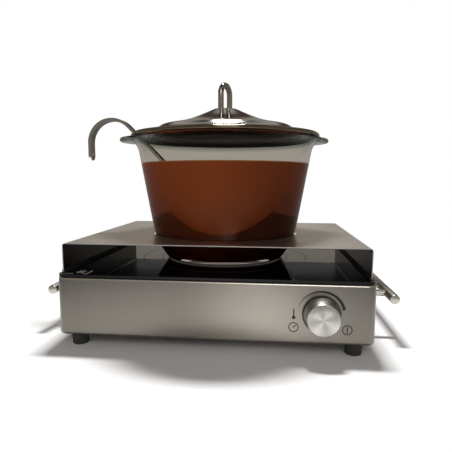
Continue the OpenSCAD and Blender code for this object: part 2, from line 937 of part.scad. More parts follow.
module bridge() {
    leg_h = bridge_top - leg_z;
    color("silver")
    difference() {
        translate([0, 0, leg_z]) rotate([90, 0, 0]) linear_extrude(bridge_d, center = true)
            difference() {
                rounded_rect(bridge_w, 2 * leg_h, bend_r);
                rounded_rect(bridge_w - 2 * bridge_t, 2 * (leg_h - bridge_t), bend_r - bridge_t);
                translate([-bridge_w, -2 * leg_h]) square([2 * bridge_w, 2 * leg_h]);
            }
        translate([0, 0, bridge_top - 2 * bridge_t]) cylinder(r = hole_r, h = 4 * bridge_t, $fn = 180);
    }
}

// Soft edging pressed onto the lower edge of one leg
module strip(side) {
    w = bridge_t + 2 * strip_wall;
    color("black")
    translate([side * (bridge_w / 2 - bridge_t / 2), 0, glass_top_z]) rotate([90, 0, 0])
        linear_extrude(bridge_d, center = true) difference() {
            translate([-w / 2, 0]) square([w, strip_h]);
            translate([-bridge_t / 2, strip_wall]) square([bridge_t, strip_h]);
        }
}

module strip_left() { strip(-1); }
module strip_right() { strip(1); }

// ---- Ladle ----

// The ladle lies in the plane y = 0. Its handle's middle line slopes down to the right at
// ladle_slope. It passes the lip's inner edge at a set clearance and meets the bowl
// along the bowl's rim. Points here are [x, z], with z from the glass top.
scoop_floor_gap = 1.8;
line_lip = channel_h / 2 + ladle_gap;
tab_step = 0.15;
line_scoop = scoop_r + ladle_t + tab_step - channel_h / 2;
scoop_z = pot_floor + scoop_r + ladle_t + scoop_floor_gap;
scoop_x = wall_r(scoop_z) - pot_wall / cos(pot_lean) - scoop_r - scoop_gap;
run = scoop_x + lip_in_r;
drop = pot_h - scoop_z;
ladle_slope = atan2(drop, run) + asin((line_lip + line_scoop) / norm([run, drop]));
hook_x = -(lip_r + ear_out + hook_out);
hook_z = pot_h
    + (line_lip - hook_r - (hook_x + lip_in_r) * sin(ladle_slope)) / cos(ladle_slope);
straight_l = (scoop_x - hook_x) * cos(ladle_slope) + (hook_z - scoop_z) * sin(ladle_slope);
hang_hole_r = 2.75;
rivet_r = 2;
rivet_head_h = 1;
rivet_sit = 0.3;
tab_from = 270 - ladle_slope;
tab_deg = 30;
tab_overlap_deg = 2;
seam_step = 0.05;
seam_overlap = 1;
rivet_angles = [tab_from + 8, tab_from + 22];
tab_w = 14;

// Places the ladle's outline, drawn as [x, z], and gives it a width along Y
module upright(w) {
    translate([0, 0, glass_top_z]) rotate([90, 0, 0]) linear_extrude(w, center = true) children();
}

// Sector of a ring about the origin
module ring_sector(r_in, r_out, from, to) {
    reach = 2 * r_out;
    intersection() {
        difference() {
            circle(r_out);
            circle(r_in);
        }
        polygon(concat([[0, 0]], [for (i = [0 : 4])
            let (a = from + (to - from) * i / 4) [reach * cos(a), reach * sin(a)]]));
    }
}

// Band along the handle's line, between two offsets from it, with spare length at its ends.
// Its straight runs are a hair narrower than the hook and reach a little way into it.
module handle_band(low, high, spare) {
    run_w = high - low - 2 * seam_step;
    translate([hook_x, hook_z]) {
        ring_sector(hook_r + low, hook_r + high, 90 - ladle_slope, 180);
        translate([-hook_r - high + seam_step, -hook_end - spare])
            square([run_w, hook_end + spare + seam_overlap]);
        rotate(90 - ladle_slope) translate([hook_r + low + seam_step, -straight_l - spare])
            square([run_w, straight_l + spare + seam_overlap]);
    }
}

// Places its children on the bowl's centre, with z along a ray at an angle in the ladle's plane
module from_scoop(angle) {
    translate([scoop_x, 0, glass_top_z + scoop_z]) rotate([0, 90 - angle, 0]) children();
}

module rivet_holes() {
    for (a = rivet_angles) from_scoop(a)
        translate([0, 0, scoop_r - 3]) cylinder(r = rivet_r + bore_gap, h = 6);
}

// Channel section, open towards the bowl, whose flanges stop short of it
module ladle_channel() {
    web = channel_h / 2;
    flange_stop = 2;
    difference() {
        upright(ladle_w) handle_band(-web, web, 1);
        upright(ladle_w - 2 * ladle_t) handle_band(ladle_t - web, web + 1, 2);
        upright(ladle_w + 2) translate([hook_x, hook_z]) rotate(90 - ladle_slope)
            translate([hook_r + ladle_t - web, -straight_l - 2]) square([channel_h, flange_stop + 2]);
    }
}

module ladle_handle() {
    tip_z = glass_top_z + hook_z - hook_end;
    color("silver")
    difference() {
        union() {
            ladle_channel();
            upright(tab_w) translate([scoop_x, scoop_z])
                ring_sector(scoop_r, scoop_r + ladle_t, tab_from - tab_overlap_deg, tab_from + tab_deg);
        }
        // rounded tip with a hanging hole
        translate([hook_x - hook_r, 0, tip_z]) rotate([0, 90, 0]) difference() {
            translate([-ladle_w / 2, -ladle_w, -channel_h]) cube([ladle_w, 2 * ladle_w, 2 * channel_h]);
            translate([-ladle_w / 2, 0, -channel_h - 1])
                cylinder(r = ladle_w / 2, h = 2 * channel_h + 2);
        }
        translate([hook_x - hook_r, 0, tip_z + ladle_w / 2]) rotate([0, 90, 0])
            cylinder(r = hang_hole_r, h = 4 * channel_h, center = true);
        rivet_holes();
    }
}

module ladle_bowl() {
    color("silver")
    difference() {
        translate([scoop_x, 0, glass_top_z + scoop_z]) difference() {
            sphere(scoop_r);
            sphere(scoop_r - ladle_t);
            rotate([0, ladle_slope - 90, 0])
                translate([-2 * scoop_r, -2 * scoop_r, 0]) cube(4 * scoop_r);
        }
        rivet_holes();
    }
}

module ladle_rivets() {
    color("gray")
    for (a = rivet_angles) from_scoop(a) {
        translate([0, 0, scoop_r - ladle_t - rivet_head_h])
            cylinder(r = rivet_r, h = 2 * (ladle_t + rivet_head_h));
        translate([0, 0, scoop_r + ladle_t]) cylinder(r = 2 * rivet_r, h = rivet_head_h);
        translate([0, 0, scoop_r - ladle_t - rivet_head_h - rivet_sit])
            cylinder(r = 2 * rivet_r, h = rivet_head_h);
    }
}

// ---- Lid ----

// The lid's outline is drawn as [radius, height above the pot's lip]
bead_seat = 0.9;
bead_flat = 0.3;
bead_centre = [lip_in_r + bead_seat, bead_r - bead_flat];
border_rise = 4.6;
border_start = bead_centre + bead_r * [-0.62, 0.785];
border_end_r = bead_centre[0] - border_w;
step_start_r = border_end_r - 6;
step_end_r = step_start_r - step_w;
step_z = border_start[1] + border_rise + 0.5;
cone_z = step_z + step_h;
cone_sag = 1.5;
cone_steps = 8;
lid_top = cone_z + cone_h;
skirt_in = 9.3;
skirt_r = lip_in_r - skirt_in;
border_mid = border_start[1] + border_rise * skirt_in / border_w;

// Points of the lid's sheet, from the bead inwards, lowered by a distance
function lid_line(lower) = concat(
    [
        [border_start[0], border_start[1] - lower],
        [border_end_r, border_start[1] + border_rise - lower],
        [step_start_r, step_z - lower]
    ],
    [for (i = [0 : cone_steps])
        let (u = i / cone_steps)
        [step_end_r - u * (step_end_r - lid_top_r), cone_z + cone_h * u - cone_sag * sin(180 * u) - lower]],
    [[0, lid_top - lower]]
);

// The same points from the axis outwards
function reversed(points) = [for (i = [len(points) - 1 : -1 : 0]) points[i]];

// Where the ladle passes under the lid's skirt, and the notch that clears it
notch_w = ladle_w + 2 * notch_gap;
ladle_at_skirt = lip_in_r
    - (line_lip + channel_h / 2 + skirt_h * cos(ladle_slope)) / sin(ladle_slope);
notch_in_r = ladle_at_skirt - notch_gap;
stud_r = 2.5;
stud_gap = 0.1;
washer_t = 1;
washer_r = 4.4;
lid_nut_h = 4;
lid_nut_r = 4.4;

// Places its children on the lid, with z = 0 at the pot's lip
module on_lid() {
    translate([0, 0, glass_top_z + pot_h]) children();
}

// Places its children at the two legs of the lid's handle
module at_loop_legs() {
    for (side = [-1, 1]) rotate(loop_turn) translate([side * loop_w / 2, 0, 0]) children();
}

module lid_shell() {
    color("silver")
    on_lid() difference() {
        union() {
            rotate_extrude() polygon(concat(lid_line(0), reversed(lid_line(lid_t))));
            rotate_extrude() intersection() {
                translate(bead_centre) circle(bead_r);
                translate([bead_centre[0] - 2 * bead_r, 0]) square(4 * bead_r);
            }
            translate([0, 0, -skirt_h]) tube(skirt_r, skirt_r - lid_t, skirt_h + border_mid - lid_t / 2);
        }
        translate([-notch_in_r - notch_w / 2, 0, -skirt_h - 1])
            cylinder(r = notch_w / 2, h = skirt_h + lid_top);
        translate([-lip_r - bead_r, -notch_w / 2, -skirt_h - 1])
            cube([lip_r + bead_r - notch_in_r - notch_w / 2, notch_w, skirt_h + lid_top]);
        at_loop_legs() translate([0, 0, lid_top - 2 * lid_t])
            cylinder(r = stud_r + stud_gap, h = 4 * lid_t);
    }
}

module lid_handle() {
    leg_h = loop_h - loop_w / 2 - loop_rod_r;
    stud_l = lid_t + washer_t + lid_nut_h + 1;
    color("silver")
    on_lid() translate([0, 0, lid_top]) {
        at_loop_legs() {
            cylinder(r = loop_rod_r, h = leg_h);
            translate([0, 0, -stud_l]) cylinder(r = stud_r, h = stud_l + eps);
        }
        rotate(loop_turn) translate([0, 0, leg_h]) rotate([90, 0, 0])
            rotate_extrude(angle = 180) translate([loop_w / 2, 0]) circle(loop_rod_r);
    }
}

module lid_washers() {
    color("silver")
    on_lid() at_loop_legs() translate([0, 0, lid_top - lid_t - washer_t])
        tube(washer_r, stud_r + stud_gap, washer_t);
}

module lid_nuts() {
    color("gray")
    on_lid() at_loop_legs() translate([0, 0, lid_top - lid_t - washer_t - lid_nut_h])
        difference() {
            cylinder(r = lid_nut_r, h = lid_nut_h, $fn = 6);
            translate([0, 0, -1]) cylinder(r = stud_r + bore_gap, h = lid_nut_h + 2);
        }
}

case_shell();
base_plate();
base_screws();
glass_top();
glass_seal();
heater_dish();
heater_insulation();
heater_coil();
heater_beam();
heater_springs();
limiter_rod();
limiter_head();
heater_leads();
terminal_block();
control_board();
board_pillars();
board_screws();
transformer();
relays();
heat_sink();
capacitors();
selector_body();
selector_nut();
selector_shaft();
knob_core();
knob_cap();
knob_bezel();
fan_frame();
fan_rotor();
fan_screws();
cord_gland();
gland_nut();
foot_front_left();
foot_front_right();
foot_back_left();
foot_back_right();
foot_screws();
bar_left();
bar_right();
posts_left();
posts_right();
post_screws();
bridge();
strip_left();
strip_right();
pot();
lid_shell();
lid_handle();
lid_washers();
lid_nuts();
ladle_handle();
ladle_bowl();
ladle_rivets();
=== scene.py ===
"""Looks of a candle melting pot: a glass pot of wax on a steel bridge over a glass-ceramic hob.

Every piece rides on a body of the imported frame. Lengths are in metres, heights are from the table,
+X is to the right and -Y is towards the knob.
"""

import json
import math

import bmesh
import bpy
from bpy.props import FloatProperty, FloatVectorProperty, IntProperty, PointerProperty
from mathutils import Euler, Matrix, Vector


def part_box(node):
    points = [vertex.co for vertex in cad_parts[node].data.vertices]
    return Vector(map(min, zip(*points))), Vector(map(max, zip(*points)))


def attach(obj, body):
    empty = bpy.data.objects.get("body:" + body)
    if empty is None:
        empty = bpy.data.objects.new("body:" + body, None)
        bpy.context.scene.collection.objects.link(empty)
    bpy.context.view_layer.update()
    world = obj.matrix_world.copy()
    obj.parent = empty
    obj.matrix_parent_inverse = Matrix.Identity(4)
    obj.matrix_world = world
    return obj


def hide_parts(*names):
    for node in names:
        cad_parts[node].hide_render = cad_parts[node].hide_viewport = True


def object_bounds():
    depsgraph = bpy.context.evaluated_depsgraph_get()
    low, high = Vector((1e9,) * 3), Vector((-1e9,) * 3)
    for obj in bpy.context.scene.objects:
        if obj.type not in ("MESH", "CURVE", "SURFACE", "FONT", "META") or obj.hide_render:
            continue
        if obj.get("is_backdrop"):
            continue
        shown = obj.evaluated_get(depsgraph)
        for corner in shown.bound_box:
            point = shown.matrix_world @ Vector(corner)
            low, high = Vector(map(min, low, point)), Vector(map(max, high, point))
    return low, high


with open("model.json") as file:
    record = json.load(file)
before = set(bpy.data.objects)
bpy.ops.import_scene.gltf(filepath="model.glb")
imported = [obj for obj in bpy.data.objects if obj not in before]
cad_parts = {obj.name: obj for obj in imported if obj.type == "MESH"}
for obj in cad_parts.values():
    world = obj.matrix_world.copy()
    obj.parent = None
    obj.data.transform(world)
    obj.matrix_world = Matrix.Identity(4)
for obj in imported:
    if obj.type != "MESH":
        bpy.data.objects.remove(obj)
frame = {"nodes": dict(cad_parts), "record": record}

bl_info = {
    "name": "Candle Melting Pot",
    "version": (1, 0, 0),
    "blender": (4, 5, 0),
    "location": "3D View > Sidebar > Melting Pot",
    "description": "Builds a candle melting pot with its wax, lid and ladle around a packed frame",
    "category": "Object",
}

MM = 0.001


# ---- Settings ----


def length(name, about, default):
    """A length in metres."""
    return FloatProperty(name=name, description=about, default=default, unit="LENGTH")


def angle(name, about, degrees):
    """An angle, given in degrees and kept in radians."""
    return FloatProperty(name=name, description=about, default=math.radians(degrees), unit="ROTATION")


def count(name, about, default):
    """A whole number."""
    return IntProperty(name=name, description=about, default=default, min=1)


def colour(name, about, default):
    """A linear colour."""
    return FloatVectorProperty(
        name=name, description=about, default=default, subtype="COLOR", min=0.0, max=1.0
    )


class PotSettings(bpy.types.PropertyGroup):
    """Shape of the glass pot."""

    wall: length("Wall", "Thickness of the glass wall", 0.0046)
    lean: angle("Lean", "Lean of the wall from upright", 10)
    bend_radius: length("Bend radius", "Outer radius of the pot at the bend", 0.1024)
    bend_height: length("Bend height", "Height of the bend above the pot's foot", 0.045)
    bowl_radius: length("Bowl radius", "Radius of the rounded lower wall", 0.090)
    stand_radius: length("Stand radius", "Radius of the ring that the pot stands on", 0.075)
    flare_radius: length("Flare radius", "Radius of the flare under the lip", 0.022)
    flare_end: angle("Flare end", "Where the flare ends, from upright", 25)
    lip_flat: length("Lip flat", "Width of the flat on the lip", 0.0042)
    lip_round: length("Lip round", "Rounding of the lip's edge", 0.0015)
    ear_reach: length("Ear reach", "How far an ear reaches past the lip", 0.014)
    ear_radius: length("Ear radius", "Radius of an ear's outline", 0.055)
    ear_thickness: length("Ear thickness", "Thickness of an ear", 0.006)
    ear_turn: angle("Ear turn", "Turn of the ears about the pot's axis", 10)
    floor_height: length("Floor height", "Height of the inner floor above the foot", 0.0062)
    steps: count("Steps", "Steps round the pot", 192)


class WaxSettings(bpy.types.PropertyGroup):
    """Shape and colour of the melted wax."""

    level: length("Level", "Height of the wax above the pot's foot", 0.1335)
    bite: length("Bite", "How far the wax reaches into the glass, so that no air shows", 0.00012)
    meniscus: length("Meniscus", "How far the wax climbs the wall", 0.0012)
    light_colour: colour("Light colour", "Colour near the surface", (0.330, 0.072, 0.020))
    dark_colour: colour("Dark colour", "Colour near the floor", (0.050, 0.012, 0.006))
    # The two dark patches are painted reflections.
    patch_middle: length("Patch middle", "Place along X between the two dark patches", 0.003)
    patch_low: length("Patch low", "Lowest height of the patches' upper edge", 0.129)
    patch_high: length("Patch high", "Height of the patches' upper edge at the wall", 0.176)
    patch_curve: FloatProperty(
        name="Patch curve", description="How fast the patches rise, per metre", default=6.8
    )
    rim_colour: colour("Rim colour", "Colour of the thin edge that climbs the glass", (0.42, 0.22, 0.09))


class LidSettings(bpy.types.PropertyGroup):
    """Shape of the lid."""

    sheet: length("Sheet", "Thickness of the sheet steel", 0.0008)
    bead_radius: length("Bead radius", "Radius of the bead rolled into the edge", 0.0029)
    bead_seam: angle("Bead seam", "Where the bead's round begins", 128)
    bead_out: length("Bead out", "How far the bead's middle lies outside the lip's inner edge", 0.0009)
    bead_sink: length("Bead sink", "How much of the bead lies below the lip's top", 0.0003)
    border_width: length("Border width", "Width of the flat border", 0.023)
    border_bend: length("Border bend", "Width of the flat between the border and the step", 0.006)
    border_rise: length("Border rise", "Rise of the border", 0.0046)
    bend_rise: length("Bend rise", "Rise of that flat", 0.0005)
    step_width: length("Step width", "Width of the step inside the border", 0.008)
    step_height: length("Step height", "Rise of the step", 0.0065)
    step_round: length("Step round", "Rounding of the step's corners", 0.003)
    cone_height: length("Cone height", "Rise of the cone", 0.024)
    cone_sag: length("Cone sag", "How far the cone sags below a straight line", 0.0032)
    top_radius: length("Top radius", "Radius of the flat on top", 0.017)
    skirt_depth: length("Skirt depth", "Depth of the skirt inside the pot", 0.004)
    skirt_inset: length("Skirt inset", "Distance from the lip's inner edge to the skirt", 0.0093)
    notch_width: length("Notch width", "Width of the notch for the ladle", 0.022)
    notch_end: length("Notch end", "Distance of the notch's inner end from the axis", 0.1117)
    rod_radius: length("Rod radius", "Radius of the handle's rod", 0.004)
    rod_spread: length("Rod spread", "Distance between the handle's legs", 0.025)
    rod_turn: angle("Rod turn", "Turn of the handle about the lid's axis", 67)


class KnobSettings(bpy.types.PropertyGroup):
    """Shape of the knob's metal cap."""

    taper: length("Taper", "How much narrower the face is than the base, in radius", 0.0019)
    face_sheet: length("Face sheet", "Thickness of the metal at the face", 0.0015)
    inner_wall: length("Inner wall", "Thickness of the side behind the face", 0.0016)
    side_sheet: length("Side sheet", "Thickness of the metal at the base", 0.0012)
    edge: length("Edge", "Chamfer round the face", 0.0009)
    dish: length("Dish", "Depth of the face's shallow dish", 0.0003)
    groove: length("Groove", "Depth of the groove near the base", 0.0004)
    steps: count("Steps", "Steps round the cap", 128)


class BarSettings(bpy.types.PropertyGroup):
    """Shape of the side bars."""

    edge: length("Edge", "Chamfer at a bar's ends", 0.0008)
    steps: count("Steps", "Steps round a bar", 64)


class PrintSettings(bpy.types.PropertyGroup):
    """Printed marks on the case and on the glass."""

    ink: length("Ink", "Thickness of the printed layer", 0.00006)
    line: length("Line", "Width of a symbol's line", 0.0011)
    scale_radius: length("Scale radius", "Outer radius of the knob's scale", 0.027)
    scale_low: angle("Scale low", "Where the scale is thin", 161)
    scale_high: angle("Scale high", "Where the scale is wide", 13)
    scale_thin: length("Scale thin", "Width of the scale at its thin end", 0.00035)
    scale_width: length("Scale width", "Width of the scale at its wide end", 0.0038)
    symbol_radius: length("Symbol radius", "Radius of the clock and power symbols", 0.0057)
    symbols_left: length("Symbols left", "Distance of the left symbols from the knob's axis", 0.0307)
    clock_below: length("Clock below", "How far the clock lies below the knob's axis", 0.0154)
    power_right: length("Power right", "Distance of the power symbol from the knob's axis", 0.0284)
    power_below: length("Power below", "How far the power symbol lies below it", 0.0168)
    wave_width: length("Wave width", "Width of a wave of the heat mark", 0.0016)
    wave_pitch: length("Wave pitch", "Distance between the heat mark's waves", 0.003)
    frame_line: length("Frame line", "Width of the line round the heat mark", 0.0016)
    zone_radius: length("Zone radius", "Radius of the outer cooking zone's ring", 0.1165)
    inner_zone_radius: length("Inner zone radius", "Radius of the inner cooking zone's ring", 0.090)
    zone_line: length("Zone line", "Width of a zone's ring", 0.0007)


class ScrewSettings(bpy.types.PropertyGroup):
    """Shape of the screws' heads."""

    slot_width: length("Slot width", "Width of the cross recess", 0.0009)
    slot_depth: length("Slot depth", "Depth of the cross recess", 0.0011)
    edge: length("Edge", "Rounding of a head's edge", 0.0004)


class StageSettings(bpy.types.PropertyGroup):
    """Floor, light and camera."""

    floor_radius: length("Floor radius", "Radius of the pale floor", 6.0)
    floor_clear: length("Clear floor", "Distance at which the floor has faded to plain white", 0.62)
    key_power: FloatProperty(
        name="Key power", description="Power of the overhead light", default=26.0, unit="POWER"
    )
    key_place: FloatVectorProperty(
        name="Key place",
        description="Place of the overhead light",
        default=(0.0, 0.34, 1.45),
        subtype="TRANSLATION",
    )
    fill_power: FloatProperty(
        name="Fill power", description="Power of the front light", default=9.0, unit="POWER"
    )
    fill_place: FloatVectorProperty(
        name="Fill place",
        description="Place of the front light",
        default=(0.3, -1.9, 1.2),
        subtype="TRANSLATION",
    )
    eye: FloatVectorProperty(
        name="Eye",
        description="Place of the camera",
        default=(0.067142, -0.63108, 0.198192),
        subtype="TRANSLATION",
    )
    yaw: angle("Yaw", "Turn of the camera to the left", 5.95)
    pitch: angle("Pitch", "How far the camera looks down", 6.95)
    roll: angle("Roll", "Roll of the camera", 0.13)
    lens: FloatProperty(
        name="Lens", description="Focal length in millimetres", default=34.957, subtype="NONE"
    )
    shift: FloatProperty(name="Shift", description="Upward shift of the lens", default=0.0137)


# ---- Node trees ----


class Number:
    """A number in a shader or a geometry tree, with ordinary arithmetic."""

    def __init__(self, recipe, socket):
        self.recipe = recipe
        self.socket = socket

    def __add__(self, other):
        return self.recipe.maths("ADD", self, other)

    def __sub__(self, other):
        return self.recipe.maths("SUBTRACT", self, other)

    def __mul__(self, other):
        return self.recipe.maths("MULTIPLY", self, other)

    def __truediv__(self, other):
        return self.recipe.maths("DIVIDE", self, other)

    def __rsub__(self, other):
        return self.recipe.maths("SUBTRACT", other, self)

    def __rtruediv__(self, other):
        return self.recipe.maths("DIVIDE", other, self)

    __radd__ = __add__
    __rmul__ = __mul__


class Recipe:
    """Adds nodes to a tree, each in one call."""

    def __init__(self, tree):
        self.tree = tree
        self.tree.nodes.clear()

    def node(self, kind, settings=None, inputs=None):
        """Adds a node, sets its options and fills its inputs with values or links."""
        node = self.tree.nodes.new(kind)
        for key, value in (settings or {}).items():
            setattr(node, key, value)
        for key, value in (inputs or {}).items():
            self.fill(node.inputs[key], value)
        return node

    def fill(self, socket, value):
        """Gives a socket a value, or links one to it."""
        if isinstance(value, Number):
            value = value.socket
        if isinstance(value, bpy.types.NodeSocket):
            self.tree.links.new(value, socket)
        else:
            socket.default_value = value

    def maths(self, operation, *values):
        """The result of one sum on numbers."""
        node = self.node("ShaderNodeMath", {"operation": operation}, dict(enumerate(values)))
        return Number(self, node.outputs[0])

    def vector(self, operation, *values):
        """The result of one sum on vectors."""
        node = self.node("ShaderNodeVectorMath", {"operation": operation}, dict(enumerate(values)))
        return node.outputs[0]


class Finish(Recipe):
    """The node tree of one material."""

    def __init__(self, name):
        self.material = bpy.data.materials.new(name)
        self.material.use_nodes = True
        super().__init__(self.material.node_tree)
        self.place = self.node("ShaderNodeTexCoord").outputs["Object"]

    def along(self, axis):
        """The place along one axis, in metres."""
        parts = self.node("ShaderNodeSeparateXYZ", inputs={0: self.place})
        return Number(self, parts.outputs[axis])

    def radius(self):
        """Distance from the Z axis."""
        across = self.along(0)
        deep = self.along(1)
        return self.maths("SQRT", across * across + deep * deep)

    def noise(self, scale, detail=3.0, rough=0.5):
        """Cloudy noise from 0 to 1. Scale is how often it changes per metre along X, Y and Z."""
        spread = self.vector("MULTIPLY", self.place, scale)
        node = self.node(
            "ShaderNodeTexNoise",
            inputs={"Vector": spread, "Scale": 1.0, "Detail": detail, "Roughness": rough},
        )
        return Number(self, node.outputs["Fac"])

    def ramp(self, value, low, high, start=0.0, end=1.0):
        """Smooth change from start to end as a number goes from low to high."""
        node = self.node(
            "ShaderNodeMapRange",
            {"interpolation_type": "SMOOTHSTEP"},
            {"Value": value, 1: low, 2: high, 3: start, 4: end},
        )
        return Number(self, node.outputs[0])

    def mix(self, factor, first, second):
        """Mixes two colours."""
        inputs = {0: factor, 6: rgba(first), 7: rgba(second)}
        node = self.node("ShaderNodeMix", {"data_type": "RGBA"}, inputs)
        return node.outputs[2]

    def bump(self, height, strength, distance):
        """A surface normal from a height."""
        node = self.node(
            "ShaderNodeBump", inputs={"Height": height, "Strength": strength, "Distance": distance}
        )
        return node.outputs[0]

    def surface(self, **inputs):
        """Ends the tree in the standard surface and returns the material."""
        named = {key.replace("_", " "): value for key, value in inputs.items()}
        shader = self.node("ShaderNodeBsdfPrincipled", inputs=named)
        self.node("ShaderNodeOutputMaterial", inputs={"Surface": shader.outputs[0]})
        return self.material


class Growth(Recipe):
    """A geometry tree with named inputs. It ends in one plain mesh with one material."""

    def __init__(self, name, **inputs):
        tree = bpy.data.node_groups.new(name, "GeometryNodeTree")
        super().__init__(tree)
        tree.interface.new_socket("Geometry", in_out="INPUT", socket_type="NodeSocketGeometry")
        tree.interface.new_socket("Geometry", in_out="OUTPUT", socket_type="NodeSocketGeometry")
        for label, kind in inputs.items():
            tree.interface.new_socket(label, in_out="INPUT", socket_type="NodeSocket" + kind)
        self.given = self.node("NodeGroupInput").outputs

    def number(self, label):
        """One of the inputs, for arithmetic."""
        return Number(self, self.given[label])

    def combined(self, x=0.0, y=0.0, z=0.0):
        """A vector from three numbers."""
        return self.node("ShaderNodeCombineXYZ", inputs={0: x, 1: y, 2: z}).outputs[0]

    def moved(self, geometry, place):
        """Geometry moved by a vector."""
        inputs = {"Geometry": geometry, "Translation": place}
        return self.node("GeometryNodeTransform", inputs=inputs).outputs[0]

    def joined(self, *parts):
        """Several geometries as one."""
        node = self.node("GeometryNodeJoinGeometry")
        for part in reversed(parts):
            self.tree.links.new(part, node.inputs[0])
        return node.outputs[0]

    def finish(self, geometry, material):
        """Ends the tree."""
        real = self.node("GeometryNodeRealizeInstances", inputs={0: geometry}).outputs[0]
        inputs = {"Geometry": real, "Material": material}
        done = self.node("GeometryNodeSetMaterial", inputs=inputs).outputs[0]
        self.node("NodeGroupOutput", inputs={0: done})
        return self.tree


def grown(name, points, tree, **values):
    """Runs a geometry tree on points and returns the result as an object with one plain mesh."""
    mesh = bpy.data.meshes.new(name)
    mesh.from_pydata(points, [], [])
    piece = bpy.data.objects.new(name, mesh)
    bpy.context.scene.collection.objects.link(piece)
    step = piece.modifiers.new("growth", "NODES")
    step.node_group = tree
    items = tree.interface.items_tree
    sockets = {item.name: item.identifier for item in items if item.in_out == "INPUT"}
    for label, value in values.items():
        step[sockets[label]] = value
    return baked(piece)


def rgba(value):
    """A colour with its fourth number, or a link as it is."""
    if isinstance(value, bpy.types.NodeSocket):
        return value
    return (*value[:3], 1.0)


# ---- Materials ----


def brushed_steel(name, tone, grain, roughness=0.30, shade=0.0, inside=None, gleam=None, fold=None):
    """Brushed stainless steel. Grain is the axis that the brush marks follow: 0, 1 or 2.

    Shade is painted shade that darkens the sheet towards its left and right ends. Inside, a half
    width and a height, is the space in which a bent sheet's inner faces are painted dark as shade.
    Gleam, a place along X and a reach, is a painted highlight: the lighter column that brushed
    sheet shows where it faces a lamp. Fold is the height of a top fold, along which a painted
    highlight lightens the sheet.
    """
    finish = Finish(name)
    fine = [3200.0] * 3
    fine[grain] = 12.0
    broad = [260.0] * 3
    broad[grain] = 1.0
    marks = finish.noise(fine, detail=2.0)
    streaks = finish.noise(broad, detail=2.0)
    clouds = finish.noise([9.0, 9.0, 5.0], detail=2.0)
    smears = finish.ramp(finish.noise([8.0, 8.0, 8.0], detail=2.0), 0.50, 0.74)
    darker = tuple(0.82 * c for c in tone)
    lighter = tuple(min(1.0, 1.10 * c) for c in tone)
    mottle = finish.mix(clouds * 0.85 + streaks * 0.15, darker, lighter)
    across = finish.along(0)
    # Painted shade: darker towards the sheet's left and right ends.
    ends = finish.ramp(across, -0.05, -0.19) + finish.ramp(across, 0.12, 0.19)
    dim = ends * shade + smears * 0.08
    skin = finish.mix(dim, mottle, tuple(0.45 * c for c in tone))
    # Painted highlight: a lighter column where the sheet faces a lamp.
    if gleam:
        place, reach = gleam
        near = finish.ramp(finish.maths("ABSOLUTE", across - place), reach, 0.0)
        skin = finish.mix(near * near, skin, tuple(min(1.0, 1.75 * c) for c in tone))
    # Painted highlight along the top fold.
    if fold:
        wear_and_sheen = finish.ramp(finish.along(2), fold - 3.5 * MM, fold - 1.5 * MM) * 0.8
        skin = finish.mix(wear_and_sheen, skin, tuple(min(1.0, 3.0 * c) for c in tone))
    # Painted shade on a bent sheet's inner faces.
    if inside:
        half_width, height = inside
        away = finish.maths("LESS_THAN", finish.maths("ABSOLUTE", across), half_width)
        under = away * finish.maths("LESS_THAN", finish.along(2), height)
        skin = finish.mix(under, skin, (0.030, 0.028, 0.026))
    return finish.surface(
        Base_Color=skin,
        Metallic=1.0,
        Roughness=roughness + (streaks - 0.5) * 0.04 + smears * 0.03,
        Normal=finish.bump(marks, 0.20, 0.00001),
    )


def polished_steel(name, tone, roughness=0.08, border=None):
    """Polished stainless steel with faint rub marks.

    Border, a radius about Z and a tone, gives a round piece a painted reflection of that tone outside it.
    """
    finish = Finish(name)
    rubs = finish.noise([900.0, 900.0, 60.0], detail=2.0)
    clouds = finish.noise([16.0] * 3, detail=3.0)
    haze = finish.ramp(clouds, 0.45, 0.75)
    skin = finish.mix(haze * 0.5 + rubs * 0.2, tone, tuple(0.84 * c for c in tone))
    # Painted reflection: the warm room's tone outside the border's radius.
    if border:
        start, reflected_tone = border
        skin = finish.mix(finish.ramp(finish.radius(), start, start + 4 * MM), skin, reflected_tone)
    return finish.surface(
        Base_Color=skin,
        Metallic=1.0,
        Roughness=roughness + haze * 0.06 + (rubs - 0.5) * 0.04,
        Normal=finish.bump(rubs * 0.4 + clouds * 0.6, 0.10, 0.00012),
    )


def shaded_steel(name, tone):
    """Steel painted a dull, uneven dark brown, as painted shade."""
    finish = Finish(name)
    drops = finish.noise([180.0] * 3, detail=3.0)
    clouds = finish.noise([20.0] * 3, detail=3.0)
    return finish.surface(
        Base_Color=finish.mix(clouds * 0.7 + drops * 0.3, tone, tuple(0.55 * c for c in tone)),
        Roughness=0.55 + (drops - 0.5) * 0.2,
        Specular_IOR_Level=0.06,
        Normal=finish.bump(drops, 0.2, 0.0001),
    )


def ladle_steel(name, tone, half_width):
    """Pressed steel, dark with painted shade, with painted highlights on its raised edges and two lines.
    """
    finish = Finish(name)
    rubs = finish.noise([40.0, 1200.0, 40.0], detail=2.0)
    clouds = finish.noise([30.0] * 3, detail=3.0)
    side = finish.maths("ABSOLUTE", finish.along(1)) / half_width
    # Painted highlights on the raised edges and on a line each side; elsewhere painted shade.
    edge = finish.ramp(side, 0.72, 0.95)
    line = finish.ramp(finish.maths("ABSOLUTE", side - 0.35), 0.16, 0.04)
    highlight_lines = edge * 0.9 + line * 0.6 + (clouds - 0.5) * 0.2
    return finish.surface(
        Base_Color=finish.mix(highlight_lines, tuple(0.30 * c for c in tone), tone),
        Metallic=1.0,
        Roughness=0.16 + clouds * 0.08 + (rubs - 0.5) * 0.06,
        Normal=finish.bump(rubs, 0.15, 0.00002),
    )


